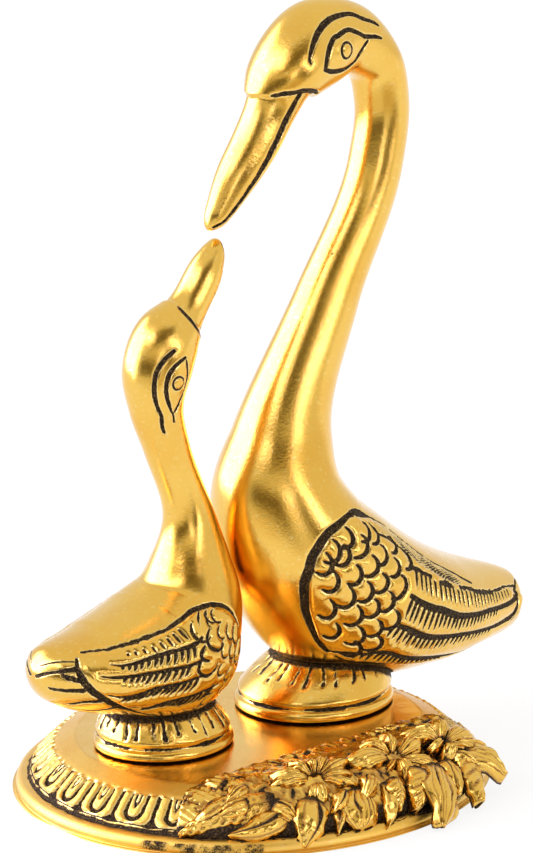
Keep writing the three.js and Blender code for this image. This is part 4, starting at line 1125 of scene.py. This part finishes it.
def petalSheet(flower, petal, seed):
    shape = spray["petal"]
    turn, length, half = petal
    rng = np.random.default_rng(seed)
    middle = np.array(flower["middle"], float)
    tilt = math.radians(flower["tilt"] + rng.uniform(-6, 6))
    out = middle * [1, 1, 0] / np.hypot(middle[0], middle[1])
    up = np.array([0, 0, 1.0])
    face = up * math.cos(tilt) + out * math.sin(tilt)
    down = out * math.cos(tilt) - up * math.sin(tilt)
    across = np.cross(face, down)
    s = np.linspace(0.07, 1, shape["rows"])[:, None]
    v = np.linspace(-1, 1, shape["columns"])[None, :]
    lobes = 1 + 0.045 * np.cos(v * rng.uniform(4.5, 8) + rng.uniform(0, 6))
    reach = length * s * (1 - 0.30 * np.abs(v) ** 2.4 * s) * lobes
    angle = np.radians(turn + half * v * (1.16 - 0.28 * s ** 2))
    count = max(3, round(2 * math.radians(half) * length * 0.8 / shape["pitch"]))
    ridge, cut = folds(s, v, count, rng)
    lean = rng.uniform(-0.8, 0.8)
    height = (shape["rise"] * np.sin(np.pi * 0.62 * s) - shape["curl"] * s ** 3 + lean * v * s
              + shape["arch"] * (1 - v ** 2) * np.sin(np.pi * np.clip(s, 0, 0.75) / 1.5) - 0.3
              + shape["ridge"] * ridge * np.sin(np.pi * np.clip(s, 0.05, 0.88) / 0.94) ** 0.6
              - 1.2 * np.abs(v) ** 6 - 1.1 * s ** 10)
    spot = middle + down * (reach * np.cos(angle))[..., None] + across * (reach * np.sin(angle))[..., None]
    height = height + crinkle(spot, 0.4, seed)
    top = spot + face * height[..., None]
    inward = (middle - spot) * 0.12
    low = spot + inward + face * (height - 1.0 - 1.6 * (1 - s))[..., None]
    ink = -0.9 + 1.35 * cut * (1.1 - 0.7 * s)
    # darker towards the flower's middle
    grimeAndShade = 1.25 * (1 - smooth(0.05, 0.30, s + 0 * v))
    return closedSheet(top, low, ink, grimeAndShade)


def leafSheet(leaf, seed):
    rng = np.random.default_rng(seed)
    root, tip = np.array(leaf["root"], float), np.array(leaf["tip"], float)
    length = np.linalg.norm(tip - root)
    down = (tip - root) / length
    out = (root + tip) * [1, 1, 0]
    face = out / np.linalg.norm(out) + [0, 0, leaf["lie"]]
    face -= down * (face @ down)
    face /= np.linalg.norm(face)
    across = np.cross(face, down)
    s = np.linspace(0, 1, leaf["rows"])[:, None]
    v = np.linspace(-1, 1, leaf["columns"])[None, :]
    half = leaf["width"] / 2 * np.sin(np.pi * (0.13 + 0.84 * s ** leaf["blunt"])) ** 0.75
    waves = np.sin(rng.uniform(7, 13) * s + rng.uniform(0, 6) + 1.7 * np.sign(v))
    half = half * (1 + leaf["wave"] * waves * np.abs(v) ** 3)
    if leaf["kind"] == "feather":
        phase = leaf["ribs"] * (s - 0.34 * np.abs(v) * leaf["width"] / length) + rng.uniform(0, 1)
        rib = (0.5 + 0.5 * np.cos(2 * np.pi * phase)) ** 2.4 * (0.75 + 0.25 * np.sin(5 * phase))
        cut = rib * np.clip(np.abs(v) * 3, 0, 1) * (1 - np.abs(v) ** 6)
        cut = np.maximum(cut, 0.8 * np.exp(-(v / 0.09) ** 2) * (1 - s))
        ridge = 1 - rib
    else:
        ridge, cut = folds(s, v, leaf["ribs"], rng)
        ridge = ridge * np.sin(np.pi * np.clip(s, 0.1, 0.9)) ** 0.5
    height = (leaf["bulge"] * np.sin(np.pi * s) + leaf["ridge"] * (1 - np.abs(v)) - leaf["cup"] * v ** 2
              + leaf["ribDepth"] * ridge - 1.0 * np.abs(v) ** 6)
    twist = np.radians(leaf["twist"]) * s
    side = half * v
    spot = (root + down * (length * s)[..., None]
            + across * (side * np.cos(twist) + leaf["swing"] * np.sin(np.pi * s))[..., None]
            + face * (side * np.sin(twist))[..., None])
    height = height + crinkle(spot, 0.45, seed)
    top = spot + face * height[..., None]
    centre = root + down * (length * s)[..., None]
    low = spot + (centre - spot) * 0.2 + face * (height - leaf["thick"] - 2.5 * (1 - s) ** 2)[..., None]
    for part in (top, low):
        part[..., 2] = np.maximum(part[..., 2], 0.5)
    ink = -0.9 + 1.35 * cut * (1.05 - 0.35 * s)
    # darker at the leaf's root
    return closedSheet(top, low, ink, 0.9 * (1 - smooth(0, 0.2, s + 0 * v)))


def bankSheet():
    # the mound that the flowers and leaves stand on, leafy along its straight edge and rough behind it
    bank = spray["bank"]
    turn = np.radians(np.linspace(bank["from"], bank["to"], bank["columns"]))[None, :]
    part = np.linspace(0, 1, bank["columns"])[None, :]
    inner = np.minimum(bank["lineY"] / np.sin(turn), bank["innerMost"])
    share = np.linspace(0, 1, bank["rows"])[:, None]
    reach = lerp(inner, bank["reach"], share)
    past = np.maximum(reach - bank["rimFrom"], 0) / (bank["reach"] - bank["rimFrom"])
    ground = base["top"] - bank["rimDrop"] * past ** 1.6
    ends = np.sin(np.pi * np.clip(0.06 + 0.88 * part, 0, 1)) ** 0.5
    swell = np.sin(np.pi * np.clip(0.1 + 0.8 * share, 0, 1)) ** 0.7
    bump = bank["height"] * ends * swell * smooth(0, 0.05, share)
    x, y = reach * np.cos(turn), reach * np.sin(turn)
    flat = np.stack([x, y, ground], -1)
    leafX = (x + 0.35 * (y - bank["lineY"])) / bank["leafPitch"] + crinkle(flat, 0.5, 31)
    dome = np.abs(np.sin(np.pi * leafX)) ** 0.6
    fine = 0.5 + 0.5 * np.cos(2 * np.pi * (x + 0.25 * y) / bank["ridgePitch"] + 2 * dome)
    onLine = 1 - smooth(7, 12, bank["lineY"] - y)
    rough = crinkle(flat, 1.0, 33)
    coarse = crinkle(flat * 0.55, 1.0, 35)
    relief = onLine * (0.75 * dome + 0.3 * fine - 0.5) + (1 - onLine) * (0.5 * rough + 1.0 * coarse)
    edge = smooth(0, 0.06, share) * (1 - smooth(0.95, 1, share))
    height = ground + bump + relief * edge
    top = np.stack([x, y, height], -1)
    low = np.stack([x, y, np.minimum(ground, 9) - 4], -1)
    ink = onLine * (0.25 - 1.1 * dome) + (1 - onLine) * (-0.35 - 1.1 * rough)
    # darker along the bank's outer end
    return closedSheet(top, low, np.clip(ink, -1, 0.4), smooth(0.93, 1, share + 0 * part))


def edgingLeaf(x, rng):
    # one of the small ridged leaves that make the straight edge of the bank
    edging, line = spray["edging"], spray["bank"]["lineY"]
    x = x + rng.uniform(-0.7, 0.7)
    long = edging["long"] * rng.uniform(0.85, 1.2)
    root = (x + edging["lean"], line - long, edging["rootHigh"] + rng.uniform(-0.3, 0.4))
    tip = (x, line + rng.uniform(-0.6, 0.3), edging["tipHigh"])
    return leafAt(root, tip, edging["width"] * rng.uniform(0.85, 1.15), **edging["shape"])


def beadRing(place):
    # a small ring that lies on the spray
    turns, around = circle(28)[:, None], circle(12)[None, :]
    reach = 1.25 + 0.5 * np.cos(around)
    points = np.stack([reach * np.cos(turns), reach * np.sin(turns), 0.7 * np.sin(around) + 0 * turns], -1)
    rows, columns = points.shape[:2]
    faces = gridFaces(rows, columns, True)
    joint = gridFaces(2, columns, True)
    joint = np.where(joint < columns, joint + (rows - 1) * columns, joint - columns)
    return Shell(points.reshape(-1, 3) + np.array(place), np.vstack([faces, joint]))


def normalsOf(shell):
    # the way out of the shell at each point
    a, b, c = (shell.points[shell.faces[:, k]] for k in range(3))
    cross = np.cross(b - a, c - a)
    normals = np.zeros_like(shell.points)
    for k in range(3):
        np.add.at(normals, shell.faces[:, k], cross)
    return normals / (np.linalg.norm(normals, axis=1, keepdims=True) + 1e-12)


def shelter(shell, picked, tree, shade, seed):
    # the share of rays from a point that meet the spray within reach: high in narrow gaps
    rng = np.random.default_rng(seed)
    normals = normalsOf(shell)
    found = np.zeros(len(picked))
    for k, index in enumerate(picked):
        ways = rng.normal(0, 1, (shade["rays"], 3))
        ways /= np.linalg.norm(ways, axis=1, keepdims=True)
        ways += normals[index] * 1.05
        start = Vector(shell.points[index] + normals[index] * 0.06)
        for way in ways:
            if tree.ray_cast(start, Vector(way), shade["reach"])[0] is not None:
                found[k] += 1 / shade["rays"]
    return found


def spraySheets():
    # every petal, leaf and ring of the spray, each a closed sheet
    seeds, edging = spray["seeds"], spray["edging"]
    sheets = [bankSheet()]
    for number, flower in enumerate(spray["flowers"]):
        for k, petal in enumerate(flower["petals"]):
            sheets.append(petalSheet(flower, petal, seeds["petals"] + number * 10 + k))
    for number, leaf in enumerate(spray["leaves"]):
        sheets.append(leafSheet(leaf, seeds["leaves"] + number))
    rng = np.random.default_rng(seeds["edging"])
    for k, x in enumerate(np.arange(*edging["span"], edging["pitch"])):
        sheets.append(leafSheet(edgingLeaf(x, rng), seeds["edgingLeaves"] + k))
    return sheets + [beadRing(place) for place in spray["rings"]]


def makeBase():
    ground, sheets = baseShell(), spraySheets()
    points, faces, starts = joined(sheets)
    whole = Shell(points, faces)
    # painted shade: each sheet darkens where rays from it soon meet the spray
    hidden = shelter(whole, np.arange(len(points)), whole.tree(), spray["shade"], 5)
    for sheet, start in zip(sheets, starts):
        near = hidden[start:start + len(sheet.points)]
        sheet.grimeAndShade = np.maximum(sheet.grimeAndShade, smooth(0.25, 1.0, near))
    shade = spray["groundShade"]
    x, y, z = ground.points.T
    around, outer = np.degrees(np.arctan2(y, x)), np.hypot(x, y) > base["topEdge"]
    inFront = (around > shade["from"]) & (around < shade["to"])
    picked = np.flatnonzero(inFront & outer & (z > shade["above"]))
    # painted shade on the base's shoulder and rim where the spray overhangs it
    near = shelter(ground, picked, whole.tree(), shade, 6)
    ground.grimeAndShade[picked] = np.maximum(ground.grimeAndShade[picked], smooth(0.15, 0.6, near))
    addPiece("base_casting", [ground], "base", baseGilt)
    addPiece("flower_spray", sheets, "base", sprayGilt)


makeBase()
